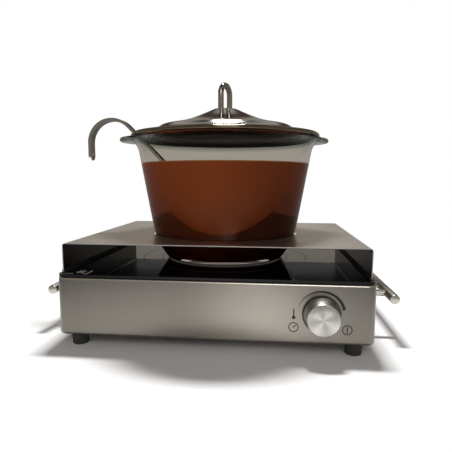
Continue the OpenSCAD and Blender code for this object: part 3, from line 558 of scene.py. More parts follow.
def spun_metal(name, tone, centre):
    """Metal with fine circles round an axis along Y, as a lathe leaves them, and painted sheen rays."""
    finish = Finish(name)
    across = finish.along(0) - centre.x
    up = finish.along(2) - centre.z
    radius = finish.maths("SQRT", across * across + up * up)
    turn = finish.maths("ARCTAN2", up, across)
    rings = finish.maths("SINE", radius * 9000.0)
    wobble = finish.noise([60.0] * 3, detail=2.0)
    # Painted highlight: four lighter rays across the face, as spun metal shows under a lamp.
    sheen_rays = finish.maths("SINE", turn * 4.0 + 0.6)
    return finish.surface(
        Base_Color=finish.mix(sheen_rays * 0.5 + 0.5, tone, tuple(0.70 * c for c in tone)),
        Metallic=1.0,
        Roughness=0.27 + wobble * 0.08 + sheen_rays * 0.04,
        Normal=finish.bump(rings * 0.5 + wobble, 0.35, 0.00002),
    )


def pot_glass(foot, lip, stand):
    """Clear glass with finger marks, between the heights of its foot and its lip.

    The thick lip looks dark and green. The foot's ring, at a radius, glows as a painted highlight.
    """
    finish = Finish("pot_glass")
    height = finish.along(2)
    # Painted highlight: the outer edge of the foot's ring glows.
    outer = finish.ramp(finish.radius(), stand + 0.6 * MM, stand + 1.4 * MM)
    foot_glint = outer * finish.ramp(height, foot + 1.8 * MM, foot + 1.4 * MM)
    thick = finish.ramp(height, lip - 13 * MM, lip - 4 * MM)
    marks = finish.ramp(finish.noise([30.0, 30.0, 45.0], detail=5.0, rough=0.62), 0.55, 0.72)
    waves = finish.noise([14.0, 14.0, 9.0], detail=1.0)
    clear = finish.mix(marks * 0.3, (0.985, 0.98, 0.965), (0.92, 0.92, 0.89))
    return finish.surface(
        Base_Color=finish.mix(thick * 0.85, clear, (0.36, 0.40, 0.36)),
        Roughness=0.005 + marks * 0.03,
        IOR=1.16,
        Emission_Color=finish.mix(foot_glint, (0.0, 0.0, 0.0), (0.10, 0.095, 0.085)),
        Emission_Strength=1.0,
        Transmission_Weight=1.0,
        Normal=finish.bump(waves, 0.02, 0.0004),
    )


def melted_wax(wax, low, high):
    """Brown wax, darker to the right, with two patches of painted dark reflection low at its sides."""
    finish = Finish("melted_wax")
    across = finish.along(0)
    height = finish.along(2)
    depth = finish.ramp(height, low, high)
    side = finish.ramp(across, -0.02, 0.11)
    swirl = finish.noise([16.0, 16.0, 24.0], detail=3.0)
    # Painted reflection: two dark patches low at the sides, below a curved edge.
    off = finish.maths("ABSOLUTE", across - wax.patch_middle)
    rising = off * off * wax.patch_curve + wax.patch_low
    falling = wax.patch_high - off * 0.3
    edge = finish.maths("MINIMUM", rising, falling)
    reflection_patch = finish.ramp(height - edge, 1.5 * MM, -1.5 * MM)
    light = depth * 0.25 + 0.66 - side * 0.50 - reflection_patch * 0.55 + (swirl - 0.5) * 0.14
    brown = finish.mix(light, wax.dark_colour, wax.light_colour)
    rim = finish.ramp(height, high - 1.8 * MM, high - 0.4 * MM)
    return finish.surface(
        Base_Color=finish.mix(rim * 0.7, brown, wax.rim_colour),
        Roughness=0.45 + swirl * 0.10,
        Specular_IOR_Level=0.0,
        Normal=finish.bump(swirl, 0.05, 0.0006),
    )


def hob_glass(name):
    """Polished black glass-ceramic with wiped smears."""
    finish = Finish(name)
    smears = finish.ramp(finish.noise([11.0, 40.0, 11.0], detail=5.0, rough=0.65), 0.50, 0.75)
    return finish.surface(
        Base_Color=finish.mix(smears, (0.0035, 0.0035, 0.004), (0.008, 0.008, 0.008)),
        Roughness=0.02 + smears * 0.03,
        IOR=1.50,
        Normal=finish.bump(smears, 0.01, 0.0001),
    )


def ink(name, tone):
    """A printed layer with slight wear."""
    finish = Finish(name)
    wear_and_sheen = finish.noise([420.0] * 3, detail=3.0)
    return finish.surface(
        Base_Color=finish.mix(wear_and_sheen * 0.3, tone, tuple(c * 0.9 + 0.01 for c in tone)),
        Roughness=0.42 + wear_and_sheen * 0.15,
        Normal=finish.bump(wear_and_sheen, 0.15, 0.00002),
    )


# Roughness, metallic share, grain per metre and bump of each class of material
PLAIN_CLASSES = {
    "painted_metal": (0.42, 0.85, 700.0, 0.10),
    "brushed_steel": (0.34, 1.0, 1400.0, 0.15),
    "aluminium": (0.38, 1.0, 1200.0, 0.15),
    "ceramic": (0.75, 0.0, 900.0, 0.30),
    "glass": (0.08, 0.0, 60.0, 0.05),
    "rubber": (0.72, 0.0, 1600.0, 0.35),
    "matte_plastic": (0.55, 0.0, 2200.0, 0.30),
    "gloss_plastic": (0.28, 0.0, 500.0, 0.08),
}


def plain_finish(entry):
    """A material for a slot of the record, from its class and colour."""
    roughness, metallic, grain, bump = PLAIN_CLASSES[entry["class"]]
    tone = entry["base_color"][:3]
    finish = Finish(entry["slot"])
    speckle = finish.noise([grain] * 3, detail=2.0)
    clouds = finish.noise([grain / 30] * 3, detail=3.0)
    return finish.surface(
        Base_Color=finish.mix(clouds * 0.7 + speckle * 0.3, tuple(0.78 * c for c in tone), tone),
        Metallic=metallic,
        Roughness=roughness + (clouds - 0.5) * 0.18,
        Normal=finish.bump(speckle, bump, 0.00005),
    )


# ---- Meshes ----


def arc(centre, radius, start, end, steps):
    """Points on an arc, as (radius from the axis, height). Angles are in radians."""
    return [
        (
            centre[0] + radius * math.cos(start + (end - start) * i / steps),
            centre[1] + radius * math.sin(start + (end - start) * i / steps),
        )
        for i in range(steps + 1)
    ]


def as_object(name, shape, sharp=30):
    """Turns a bmesh into a smooth-shaded object whose edges are sharp above an angle."""
    bmesh.ops.recalc_face_normals(shape, faces=shape.faces)
    mesh = bpy.data.meshes.new(name)
    shape.to_mesh(mesh)
    shape.free()
    mesh.shade_smooth()
    mesh.set_sharp_from_angle(angle=math.radians(sharp))
    piece = bpy.data.objects.new(name, mesh)
    bpy.context.scene.collection.objects.link(piece)
    return piece


def lathe(outline, steps, closed=False):
    """A bmesh turned about Z. outline(turn) gives its points at an angle, from pole to pole."""
    shape = bmesh.new()
    turns = [math.tau * i / steps for i in range(steps)]
    columns = [outline(turn) for turn in turns]
    rings = []
    for level in range(len(columns[0])):
        points = [column[level] for column in columns]
        if max(radius for radius, _ in points) == 0:
            rings.append([shape.verts.new((0, 0, points[0][1]))] * steps)
            continue
        rings.append([
            shape.verts.new((radius * math.cos(turn), radius * math.sin(turn), height))
            for turn, (radius, height) in zip(turns, points)
        ])
    pairs = list(zip(rings, rings[1:]))
    if closed:
        pairs.append((rings[-1], rings[0]))
    for lower, upper in pairs:
        for i in range(steps):
            j = (i + 1) % steps
            corners = list(dict.fromkeys([lower[i], lower[j], upper[j], upper[i]]))
            if len(corners) > 2:
                shape.faces.new(corners)
    return shape


def rod(points, radius, steps):
    """A bmesh of a round rod along points, closed at both ends."""
    shape = bmesh.new()
    rings = []
    side = None
    for i, point in enumerate(points):
        ahead = points[min(i + 1, len(points) - 1)]
        behind = points[max(i - 1, 0)]
        forward = (ahead - behind).normalized()
        if side is None:
            side = forward.orthogonal().normalized()
        side = (side - forward * side.dot(forward)).normalized()
        other = forward.cross(side)
        rings.append([
            shape.verts.new(point + radius * (side * math.cos(turn) + other * math.sin(turn)))
            for turn in (math.tau * k / steps for k in range(steps))
        ])
    for lower, upper in zip(rings, rings[1:]):
        for k in range(steps):
            m = (k + 1) % steps
            shape.faces.new((lower[k], lower[m], upper[m], upper[k]))
    shape.faces.new(rings[0])
    shape.faces.new(rings[-1])
    return shape


def prism(shape, outline, lift):
    """Adds a thin closed prism to a bmesh: a flat outline, and the same outline moved by lift."""
    base = [shape.verts.new(point) for point in outline]
    top = [shape.verts.new(Vector(point) + lift) for point in outline]
    shape.faces.new(base)
    shape.faces.new(top)
    for i in range(len(base)):
        j = (i + 1) % len(base)
        shape.faces.new((base[i], base[j], top[j], top[i]))


def band(shape, inner, outer, lift, closed=False):
    """Adds a thin closed band between two lines of points, as a row of prisms' outer faces."""
    loops = [
        [shape.verts.new(Vector(point) + step) for point in line]
        for line, step in ((inner, lift * 0), (outer, lift * 0), (outer, lift), (inner, lift))
    ]
    total = len(inner)
    spans = range(total) if closed else range(total - 1)
    for a, b in zip(loops, loops[1:] + loops[:1]):
        for i in spans:
            j = (i + 1) % total
            shape.faces.new((a[i], a[j], b[j], b[i]))
    if not closed:
        shape.faces.new([loop[0] for loop in loops])
        shape.faces.new([loop[-1] for loop in loops])


def baked(piece):
    """The same piece as one plain mesh, with its modifiers applied."""
    bpy.context.view_layer.update()
    graph = bpy.context.evaluated_depsgraph_get()
    mesh = bpy.data.meshes.new_from_object(piece.evaluated_get(graph), depsgraph=graph)
    piece.modifiers.clear()
    piece.data = mesh
    return piece


def cut(piece, tool):
    """Removes one object's shape from another's."""
    step = piece.modifiers.new("cut", "BOOLEAN")
    step.operation = "DIFFERENCE"
    step.solver = "EXACT"
    step.object = tool
    baked(piece)
    bpy.data.objects.remove(tool)
    piece.data.shade_smooth()
    piece.data.set_sharp_from_angle(angle=math.radians(30))
    return piece


def dress(piece, material, body, slot="", *nodes):
    """Gives a finished piece its material and body, and hides the CAD nodes that it stands for.

    Slot, the record's slot that a piece stands for, is not used; ink and wax have none.
    """
    piece.data.materials.clear()
    piece.data.materials.append(material)
    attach(piece, body)
    if nodes:
        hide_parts(*nodes)
    return piece


def middle(node):
    """The middle of a CAD node's box."""
    low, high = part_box(node)
    return (low + high) / 2


# ---- Pot and wax ----


class PotShape:
    """The pot's outlines, worked out from its settings. Heights are from the pot's foot."""

    def __init__(self, pot, height):
        self.pot = pot
        self.height = height
        lean = pot.lean
        self.bowl = (
            pot.bend_radius - pot.bowl_radius * math.cos(lean),
            pot.bend_height + pot.bowl_radius * math.sin(lean),
        )
        drop = pot.flare_radius * (math.cos(pot.flare_end) - math.sin(lean))
        start = height - 2 * pot.lip_round - drop
        self.flare = (
            self.wall_at(start) + pot.flare_radius * math.cos(lean),
            start - pot.flare_radius * math.sin(lean),
        )
        self.lip = self.flare[0] - pot.flare_radius * math.sin(pot.flare_end)
        self.lip_inside = self.lip - pot.lip_flat - pot.lip_round

    def wall_at(self, height):
        """Outer radius of the straight wall at a height."""
        pot = self.pot
        return pot.bend_radius + (height - pot.bend_height) * math.tan(pot.lean)

    def inner_at(self, height):
        """Inner radius of the straight wall at a height."""
        return self.wall_at(height) - self.pot.wall / math.cos(self.pot.lean)

    def reach(self, turn):
        """Radius of the lip and its ears at an angle about the axis."""
        pot = self.pot
        centre = self.lip + pot.ear_reach - pot.ear_radius
        off = turn - pot.ear_turn
        across = centre * math.sin(off)
        if abs(across) >= pot.ear_radius:
            return self.lip
        along = centre * abs(math.cos(off)) + math.sqrt(pot.ear_radius**2 - across**2)
        blend = 0.0015
        over = along - self.lip
        return self.lip + (over + math.sqrt(over * over + blend * blend)) / 2

    def outside(self, turn):
        """Points of the outside from the middle of the foot to the lip."""
        pot = self.pot
        edge = self.reach(turn)
        swell = min(1.0, (edge - self.lip) / (0.3 * pot.ear_reach))
        edge_round = pot.lip_round + (pot.ear_thickness / 2 - pot.lip_round) * swell
        underside = self.height - 2 * edge_round
        end = math.pi - math.asin((underside - self.flare[1]) / pot.flare_radius)
        stand = pot.stand_radius
        foot = arc((stand, 2 * MM), 2 * MM, math.radians(-170), math.radians(-20), 8)
        bowl_start = math.asin((2 * MM - self.bowl[1]) / pot.bowl_radius)
        return [
            (0.0, 1.2 * MM),
            (stand - 4 * MM, 1.2 * MM),
            *foot,
            *arc(self.bowl, pot.bowl_radius, bowl_start, -pot.lean, 24),
            *arc(self.flare, pot.flare_radius, math.pi - pot.lean, end, 12),
            *arc((edge - edge_round, self.height - edge_round), edge_round, -math.pi / 2, math.pi / 2, 8),
        ]

    def inside(self, top, bite=0.0):
        """Points of the inside from the middle of the floor up to a height, or to the lip."""
        pot = self.pot
        bowl_radius = pot.bowl_radius - pot.wall + bite
        start = math.asin((pot.floor_height - bite - self.bowl[1]) / bowl_radius)
        points = [(0.0, pot.floor_height - bite), *arc(self.bowl, bowl_radius, start, -pot.lean, 24)]
        if top < self.height:
            return [*points, (self.inner_at(top) + bite, top)]
        flare_radius = pot.flare_radius + pot.wall
        end = math.pi / 2 + math.asin((self.flare[0] - self.lip_inside) / flare_radius)
        return [*points, *arc(self.flare, flare_radius, math.pi - pot.lean, end, 16)]


def pot_shape(context):
    """The pot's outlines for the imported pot's height."""
    low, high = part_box("pot")
    return PotShape(context.scene.melting_pot_glass, high.z - low.z)


class BuildPot(bpy.types.Operator):
    """Build the glass pot with its two ears"""

    bl_idname = "melting_pot.build_pot"
    bl_label = "Pot"

    def execute(self, context):
        shape = pot_shape(context)
        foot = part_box("pot")[0].z

        def outline(turn):
            points = shape.outside(turn) + shape.inside(shape.height)[::-1]
            return [(radius, foot + height) for radius, height in points]

        solid = lathe(outline, shape.pot.steps)
        piece = as_object("glass_pot", solid, sharp=50)
        lip = foot + shape.height
        dress(piece, pot_glass(foot, lip, shape.pot.stand_radius), "pot", "pot_glass", "pot")
        return {"FINISHED"}


class BuildWax(bpy.types.Operator):
    """Build the melted wax in the pot"""

    bl_idname = "melting_pot.build_wax"
    bl_label = "Wax"

    def execute(self, context):
        wax = context.scene.melting_pot_wax
        shape = pot_shape(context)
        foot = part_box("pot")[0].z
        brim = shape.inner_at(wax.level)
        surface = [
            (brim - wax.meniscus * fall, wax.level - wax.meniscus * (1 - math.exp(-fall)))
            for fall in (0.3, 0.8, 1.5, 2.6, 4.0, 6.0)
        ]
        middle_height = surface[-1][1]

        def outline(_turn):
            points = [*shape.inside(wax.level, wax.bite), *surface, (0.0, middle_height)]
            return [(radius, foot + height) for radius, height in points]

        piece = as_object("melted_wax", lathe(outline, shape.pot.steps), sharp=50)
        material = melted_wax(wax, foot, foot + wax.level)
        dress(piece, material, "pot")
        return {"FINISHED"}


# ---- Lid ----


# Where the lid's sheet leaves the bead, from the bead's middle, in bead radii
SEAM_IN = 0.62
SEAM_UP = 0.785


def bead_centre(lid, shape):
    """Middle of the bead's round section, as (radius, height above the lip)."""
    return (shape.lip_inside + lid.bead_out, lid.bead_radius - lid.bead_sink)


def lid_line(lid, shape, lower=0.0):
    """Points of the lid's sheet from the bead to the middle, as (radius, height above the lip)."""
    bead = bead_centre(lid, shape)
    start = (bead[0] - SEAM_IN * lid.bead_radius, bead[1] + SEAM_UP * lid.bead_radius)
    border_end = bead[0] - lid.border_width
    border_top = start[1] + lid.border_rise
    step_low = (border_end - lid.border_bend, border_top + lid.bend_rise)
    step_high = (step_low[0] - lid.step_width, step_low[1] + lid.step_height)
    cone = [
        (
            step_high[0] + (lid.top_radius - step_high[0]) * u,
            step_high[1] + lid.cone_height * u - lid.cone_sag * math.sin(math.pi * u),
        )
        for u in (i / 32 for i in range(33))
    ]
    corners = [start, (border_end, border_top), step_low, step_high, *cone[3:]]
    line = rounded(corners, lid.step_round)
    return [(radius, height - lower) for radius, height in [*line, (0.0, line[-1][1])]]


def rounded(corners, radius, steps=6):
    """A line of points with its first few corners rounded by short curves."""
    line = [Vector((*corner, 0.0)) for corner in corners]
    points = [line[0]]
    for before, corner, after in zip(line, line[1:], line[2:]):
        reach = min(radius, (corner - before).length * 0.45, (after - corner).length * 0.45)
        first = corner + (before - corner).normalized() * reach
        last = corner + (after - corner).normalized() * reach
        for i in range(steps + 1):
            u = i / steps
            points.append(first * (1 - u) ** 2 + corner * 2 * u * (1 - u) + last * u**2)
    points.append(line[-1])
    return [(point.x, point.y) for point in points]


class BuildLid(bpy.types.Operator):
    """Build the lid's shell and its handle"""

    bl_idname = "melting_pot.build_lid"
    bl_label = "Lid"

    def execute(self, context):
        lid = context.scene.melting_pot_lid
        shape = pot_shape(context)
        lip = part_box("pot")[1].z
        upper = lid_line(lid, shape)
        under = lid_line(lid, shape, lid.sheet)
        skirt = shape.lip_inside - lid.skirt_inset
        under = with_skirt(under, skirt, lid.sheet, lid.skirt_depth)
        bead = arc(bead_centre(lid, shape), lid.bead_radius, lid.bead_seam, -math.pi, 24)
        bead = [(radius, max(height, 0.0)) for radius, height in bead]

        def outline(_turn):
            points = [*upper[::-1], *bead, *under]
            return [(radius, lip + height) for radius, height in points]

        shell = as_object("lid_cover", lathe(outline, 192))
        self.cut_notch(shell, lid)
        # The border's brown tone is a painted reflection of the room.
        border = (shape.lip_inside - lid.border_width, (0.22, 0.175, 0.12))
        material = polished_steel("lid_steel", (0.60, 0.57, 0.53), border=border)
        dress(shell, material, "lid", "polished_steel", "lid_shell")
        # The underside gets painted shade.
        shell.data.materials.append(shaded_steel("lid_underside", (0.060, 0.038, 0.026)))
        edge = shape.lip_inside - lid.sheet
        for face in shell.data.polygons:
            face.material_index = int(face.normal.z < 0.1 and face.center.xy.length < edge)
        self.build_handle(lid, lip + upper[-1][1])
        return {"FINISHED"}

    def cut_notch(self, shell, lid):
        """Cuts the notch that the ladle's handle passes through."""
        low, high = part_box("lid_shell")
        centre = (low + high) / 2
        depth = high.z - low.z
        half = lid.notch_width / 2
        inner = -lid.notch_end - half
        outer = 2 * low.x - inner
        place = Matrix.Translation((inner, 0, centre.z))
        tool = bmesh.new()
        bmesh.ops.create_cone(
            tool, cap_ends=True, segments=48, radius1=half, radius2=half, depth=depth, matrix=place
        )
        place = Matrix.Translation(((inner + outer) / 2, 0, centre.z))
        size = Matrix.Diagonal((inner - outer, lid.notch_width, depth, 1))
        slab = bmesh.new()
        bmesh.ops.create_cube(slab, size=1, matrix=place @ size)
        cut(shell, as_object("notch_end", tool))
        cut(shell, as_object("notch_slot", slab))

    def build_handle(self, lid, base):
        """Builds the bent rod on top of the lid."""
        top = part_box("lid_handle")[1].z
        half = lid.rod_spread / 2
        bend = top - lid.rod_radius - half
        turn = Matrix.Rotation(lid.rod_turn, 3, "Z")
        path = [Vector((half, 0, base - 4 * MM)), Vector((half, 0, bend - 8 * MM))]
        path += [
            Vector((half * math.cos(a), 0, bend + half * math.sin(a)))
            for a in (math.pi * i / 32 for i in range(33))
        ]
        path += [Vector((-half, 0, bend - 8 * MM)), Vector((-half, 0, base - 4 * MM))]
        handle = as_object("lid_loop", rod([turn @ point for point in path], lid.rod_radius, 32))
        # The rod's tone, darker than the lid's, is painted shade.
        material = polished_steel("rod_steel", (0.38, 0.35, 0.31), 0.09)
        dress(handle, material, "lid", "polished_steel", "lid_handle")


def with_skirt(line, radius, sheet, depth):
    """Adds a downward skirt to the underside's line, which runs outwards in."""
    line = line[:]
    before = [point for point in line if point[0] > radius]
    after = [point for point in line if point[0] < radius - sheet]
    height = before[-1][1]
    return [
        *before,
        (radius, height),
        (radius, -depth),
        (radius - sheet, -depth),
        (radius - sheet, height),
        *after,
    ]


# ---- Knob, bars and screws ----


def turned_piece(name, outline, node, steps, sharp=30):
    """A piece turned about a CAD node's Y axis, its outline's heights counted from the back."""
    shape = lathe(lambda _turn: outline, steps)
    centre = middle(node)
    flat = Matrix.Rotation(math.pi / 2, 4, "X")
    place = Matrix.Translation((centre.x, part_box(node)[1].y, centre.z)) @ flat
    bmesh.ops.transform(shape, matrix=place, verts=shape.verts)
    return as_object(name, shape, sharp)


class BuildKnob(bpy.types.Operator):
    """Build the knob's metal cap"""

    bl_idname = "melting_pot.build_knob"
    bl_label = "Knob"

    def execute(self, context):
        knob = context.scene.melting_pot_knob
        low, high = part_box("knob_cap")
        base = (high.x - low.x) / 2
        face = base - knob.taper
        depth = high.y - low.y
        inside = depth - knob.face_sheet
        outline = [
            (0.0, inside),
            (face - knob.inner_wall, inside),
            (base - knob.side_sheet, 0.0),
            (base - 0.3 * MM, 0.0),
            (base, 0.3 * MM),
            (base, 1.6 * MM),
            (base - knob.groove, 1.9 * MM),
            (base - knob.groove, 2.3 * MM),
            (base - 0.1 * MM, 2.6 * MM),
            (face + 0.1 * MM, depth - knob.edge),
            (face - knob.edge * 0.3, depth - knob.edge * 0.3),
            (face - knob.edge, depth),
            (face * 0.5, depth - knob.dish * 0.8),
            (0.0, depth - knob.dish),
        ]
        piece = turned_piece("knob_face", outline, "knob_cap", knob.steps, sharp=25)
        material = spun_metal("spun_metal", (0.66, 0.64, 0.61), middle("knob_cap"))
        dress(piece, material, "knob", "spun_alloy", "knob_cap")
        return {"FINISHED"}


class BuildBars(bpy.types.Operator):
    """Build the two side bars with chamfered ends"""

    bl_idname = "melting_pot.build_bars"
    bl_label = "Side bars"

    def execute(self, context):
        bars = context.scene.melting_pot_bars
        material = brushed_steel("bar_steel", (0.60, 0.57, 0.52), grain=1, roughness=0.24)
        for side in ("left", "right"):
            low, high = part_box(f"bar_{side}")
            radius = (high.z - low.z) / 2
            span = high.y - low.y
            edge = bars.edge
            outline = [
                (0.0, 0.0),
                (radius - edge, 0.0),
                (radius - edge * 0.3, edge * 0.3),
                (radius, edge),
                (radius, span - edge),
                (radius - edge * 0.3, span - edge * 0.3),
                (radius - edge, span),
                (0.0, span),
            ]
            piece = turned_piece(f"side_bar_{side}", outline, f"bar_{side}", bars.steps)
            dress(piece, material, "hob", "satin_steel", f"bar_{side}")
        return {"FINISHED"}


def screw_tree(material):
    """A geometry tree that sets a cross-recess screw on each point, with its head's top there."""
    tree = Growth(
        "screws", Radius="Float", Head="Float", Shank="Float", Length="Float",
        Edge="Float", Slot="Float", Depth="Float", Turn="Rotation",
    )
    radius, head, edge = tree.number("Radius"), tree.number("Head"), tree.number("Edge")
    slot, depth, span = tree.number("Slot"), tree.number("Depth"), tree.number("Length")
    rim = tree.node(
        "GeometryNodeMeshCone",
        inputs={"Vertices": 40, "Radius Top": radius - edge, "Radius Bottom": radius, "Depth": edge},
    ).outputs["Mesh"]
    plate = tree.node(
        "GeometryNodeMeshCylinder", inputs={"Vertices": 40, "Radius": radius, "Depth": head - edge}
    ).outputs["Mesh"]
    shank = tree.node(
        "GeometryNodeMeshCylinder",
        inputs={"Vertices": 32, "Radius": tree.number("Shank"), "Depth": span - head * 0.5},
    ).outputs["Mesh"]
    rim = tree.moved(rim, tree.combined(z=edge * -1.0))
    plate = tree.moved(plate, tree.combined(z=(head + edge) * -0.5))
    cross = [
        tree.node("GeometryNodeMeshCube", inputs={"Size": tree.combined(*size)}).outputs["Mesh"]
        for size in ((radius * 1.1, slot, depth * 2.0), (slot, radius * 1.1, depth * 2.0))
    ]
    recessed = []
    for part in (rim, plate):
        shape = tree.node("GeometryNodeMeshBoolean", {"operation": "DIFFERENCE"}, {"Mesh 1": part})
        for bar in cross:
            tree.tree.links.new(bar, shape.inputs["Mesh 2"])
        recessed.append(shape.outputs["Mesh"])
    shank = tree.moved(shank, tree.combined(z=(span + head * 0.5) * -0.5))
    screw = tree.joined(*recessed, shank)
    placed = tree.node(
        "GeometryNodeInstanceOnPoints",
        inputs={"Points": tree.given["Geometry"], "Instance": screw, "Rotation": tree.given["Turn"]},
    )
    return tree.finish(placed.outputs[0], material)


def solids(node):
    """The corner points of each separate solid of a CAD node, one list of points each."""
    shape = bmesh.new()
    shape.from_mesh(frame["nodes"][node].data)
    bmesh.ops.remove_doubles(shape, verts=shape.verts, dist=0.01 * MM)
    left = set(shape.verts)
    groups = []
    while left:
        waiting = [left.pop()]
        group = []
        while waiting:
            corner = waiting.pop()
            group.append(corner.co.copy())
            for edge in corner.link_edges:
                other = edge.other_vert(corner)
                if other in left:
                    left.remove(other)
                    waiting.append(other)
        groups.append(group)
    shape.free()
    return groups


# Upright screws of the frame, and whether their heads face up (1) or down (-1)
SCREWS = {"base_screws": -1, "foot_screws": -1, "fan_screws": 1, "board_screws": 1}


class BuildScrews(bpy.types.Operator):
    """Build the screws of the base, the feet, the fan and the control board"""

    bl_idname = "melting_pot.build_screws"
    bl_label = "Screws"

    def execute(self, context):
        screws = context.scene.melting_pot_screws
        entry = {"slot": "screw_head", "class": "brushed_steel", "base_color": (0.5, 0.5, 0.5)}
        material = plain_finish(entry)
        tree = screw_tree(material)
        for node, sign in SCREWS.items():
            tops = []
            for group in solids(node):
                heights = [corner.z * sign for corner in group]
                centre = sum(group, Vector()) / len(group)
                radii = [(corner - centre).xy.length for corner in group]
                tip = min(heights)
                shank = max(r for r, h in zip(radii, heights) if h < tip + 0.1 * MM)
                head = max(heights) - min(h for r, h in zip(radii, heights) if r > shank + 0.2 * MM)
                centre.z = max(heights) * sign
                tops.append(centre)
            turn = Euler((0.0 if sign > 0 else math.pi, 0.0, 0.0))
            piece = grown(
                node.replace("screws", "screw_set"), tops, tree,
                Radius=max(radii), Head=head, Shank=shank, Length=max(heights) - tip,
                Edge=screws.edge, Slot=screws.slot_width, Depth=min(screws.slot_depth, head * 0.6),
                Turn=turn,
            )
            dress(piece, material, "hob", "screw_steel", node)
        return {"FINISHED"}


# ---- Prints ----


def zone_tree(material):
    """A geometry tree that lays a thin flat ring round each point."""
    tree = Growth("zone_rings", Radius="Float", Line="Float", Ink="Float")
    inputs = {"Resolution": 256, "Radius": tree.number("Radius")}
    circle = tree.node("GeometryNodeCurvePrimitiveCircle", inputs=inputs)
    section = tree.node(
        "GeometryNodeCurvePrimitiveQuadrilateral",
        inputs={"Width": tree.number("Line"), "Height": tree.number("Ink")},
    )
    ring = tree.node(
        "GeometryNodeCurveToMesh",
        inputs={"Curve": circle.outputs["Curve"], "Profile Curve": section.outputs[0]},
    ).outputs[0]
    raised = tree.moved(ring, tree.combined(z=tree.number("Ink") * 0.5))
    placed = tree.node(
        "GeometryNodeInstanceOnPoints", inputs={"Points": tree.given["Geometry"], "Instance": raised}
    )
    return tree.finish(placed.outputs[0], material)


def circle_line(centre, radius, across, up, steps=64):
    """Points round a circle in a plane."""
    turns = [math.tau * i / steps for i in range(steps)]
    return [centre + radius * (across * math.cos(turn) + up * math.sin(turn)) for turn in turns]


class BuildPrints(bpy.types.Operator):
    """Print the knob's scale and symbols, and the marks on the glass"""

    bl_idname = "melting_pot.build_prints"
    bl_label = "Prints"

    def execute(self, context):
        marks = context.scene.melting_pot_prints
        self.print_panel(marks)
        self.print_glass(marks)
        self.print_zones(marks)
        return {"FINISHED"}

    def print_panel(self, marks):
        """Prints the scale, thermometer, clock and power symbols on the front of the case."""
        shape = bmesh.new()
        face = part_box("case_shell")[0].y
        knob = middle("knob_cap")
        hub = Vector((knob.x, face, knob.z))
        lift = Vector((0, -marks.ink, 0))
        across = Vector((1, 0, 0))
        up = Vector((0, 0, 1))

        steps = 64
        inner = []
        outer = []
        for i in range(steps + 1):
            u = i / steps
            turn = marks.scale_low + (marks.scale_high - marks.scale_low) * u
            ray = across * math.cos(turn) + up * math.sin(turn)
            outer.append(hub + ray * marks.scale_radius)
            width = marks.scale_thin + (marks.scale_width - marks.scale_thin) * u
            inner.append(hub + ray * (marks.scale_radius - width))
        band(shape, inner, outer, lift)

        def ring(centre, radius):
            outside = circle_line(centre, radius, across, up)
            inside = circle_line(centre, radius - marks.line, across, up)
            band(shape, inside, outside, lift, closed=True)

        def stroke(start, end, width):
            side = (end - start).normalized().cross(Vector((0, 1, 0))) * (width / 2)
            prism(shape, [start - side, end - side, end + side, start + side], lift)

        left = hub - across * marks.symbols_left
        bulb = left - up * 4.2 * MM
        prism(shape, circle_line(bulb, 2.0 * MM, across, up, 32), lift)
        stroke(bulb + up * 1.8 * MM, left + up * 5.8 * MM, 1.3 * MM)
        clock = left - up * marks.clock_below
        hand = across + up
        ring(clock, marks.symbol_radius)
        stroke(clock - hand * 0.8 * MM, clock + hand * 2.6 * MM, marks.line)
        power = hub + across * marks.power_right - up * marks.power_below
        ring(power, marks.symbol_radius)
        stroke(power - up * 3.6 * MM, power + up * 3.6 * MM, 1.2 * MM)
        piece = as_object("panel_print", shape)
        dress(piece, ink("black_ink", (0.006, 0.006, 0.005)), "hob")

    def print_zones(self, marks):
        """Prints the two thin rings of the cooking zone on the glass."""
        material = ink("zone_ink", (0.045, 0.045, 0.045))
        tree = zone_tree(material)
        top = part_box("glass_top")[1].z
        for label, radius in (("outer", marks.zone_radius), ("inner", marks.inner_zone_radius)):
            ring = grown(
                f"zone_ring_{label}", [(0.0, 0.0, top)], tree,
                Radius=radius, Line=marks.zone_line, Ink=marks.ink,
            )
            dress(ring, material, "hob")

    def print_glass(self, marks):
        """Prints a short heat mark near the glass's front left corner."""
        shape = bmesh.new()
        low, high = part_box("glass_top")
        lift = Vector((0, 0, marks.ink))
        across = Vector((1, 0, 0))
        deep = Vector((0, 1, 0))
        corner = Vector((low.x + 8 * MM, low.y + 6 * MM, high.z))
        for i in range(3):
            foot = corner + across * (12 * MM + marks.wave_pitch * i) + deep * 4 * MM
            wave = [
                foot + deep * (1.6 * MM * k) + across * (0.9 * MM * math.sin(k * 1.3))
                for k in range(9)
            ]
            band(shape, wave, [point + across * marks.wave_width for point in wave], lift)
        right = corner + across * 27 * MM
        lines = (
            (corner, corner + across * 10 * MM),
            (corner + across * 22 * MM, right),
            (right, right + deep * 18 * MM),
        )
        for start, end in lines:
            side = (end - start).normalized().cross(Vector((0, 0, 1))) * (marks.frame_line / 2)
            prism(shape, [start - side, end - side, end + side, start + side], lift)
        piece = as_object("glass_print", shape)
        dress(piece, ink("white_ink", (0.95, 0.95, 0.93)), "hob")


# ---- Everything else of the frame ----


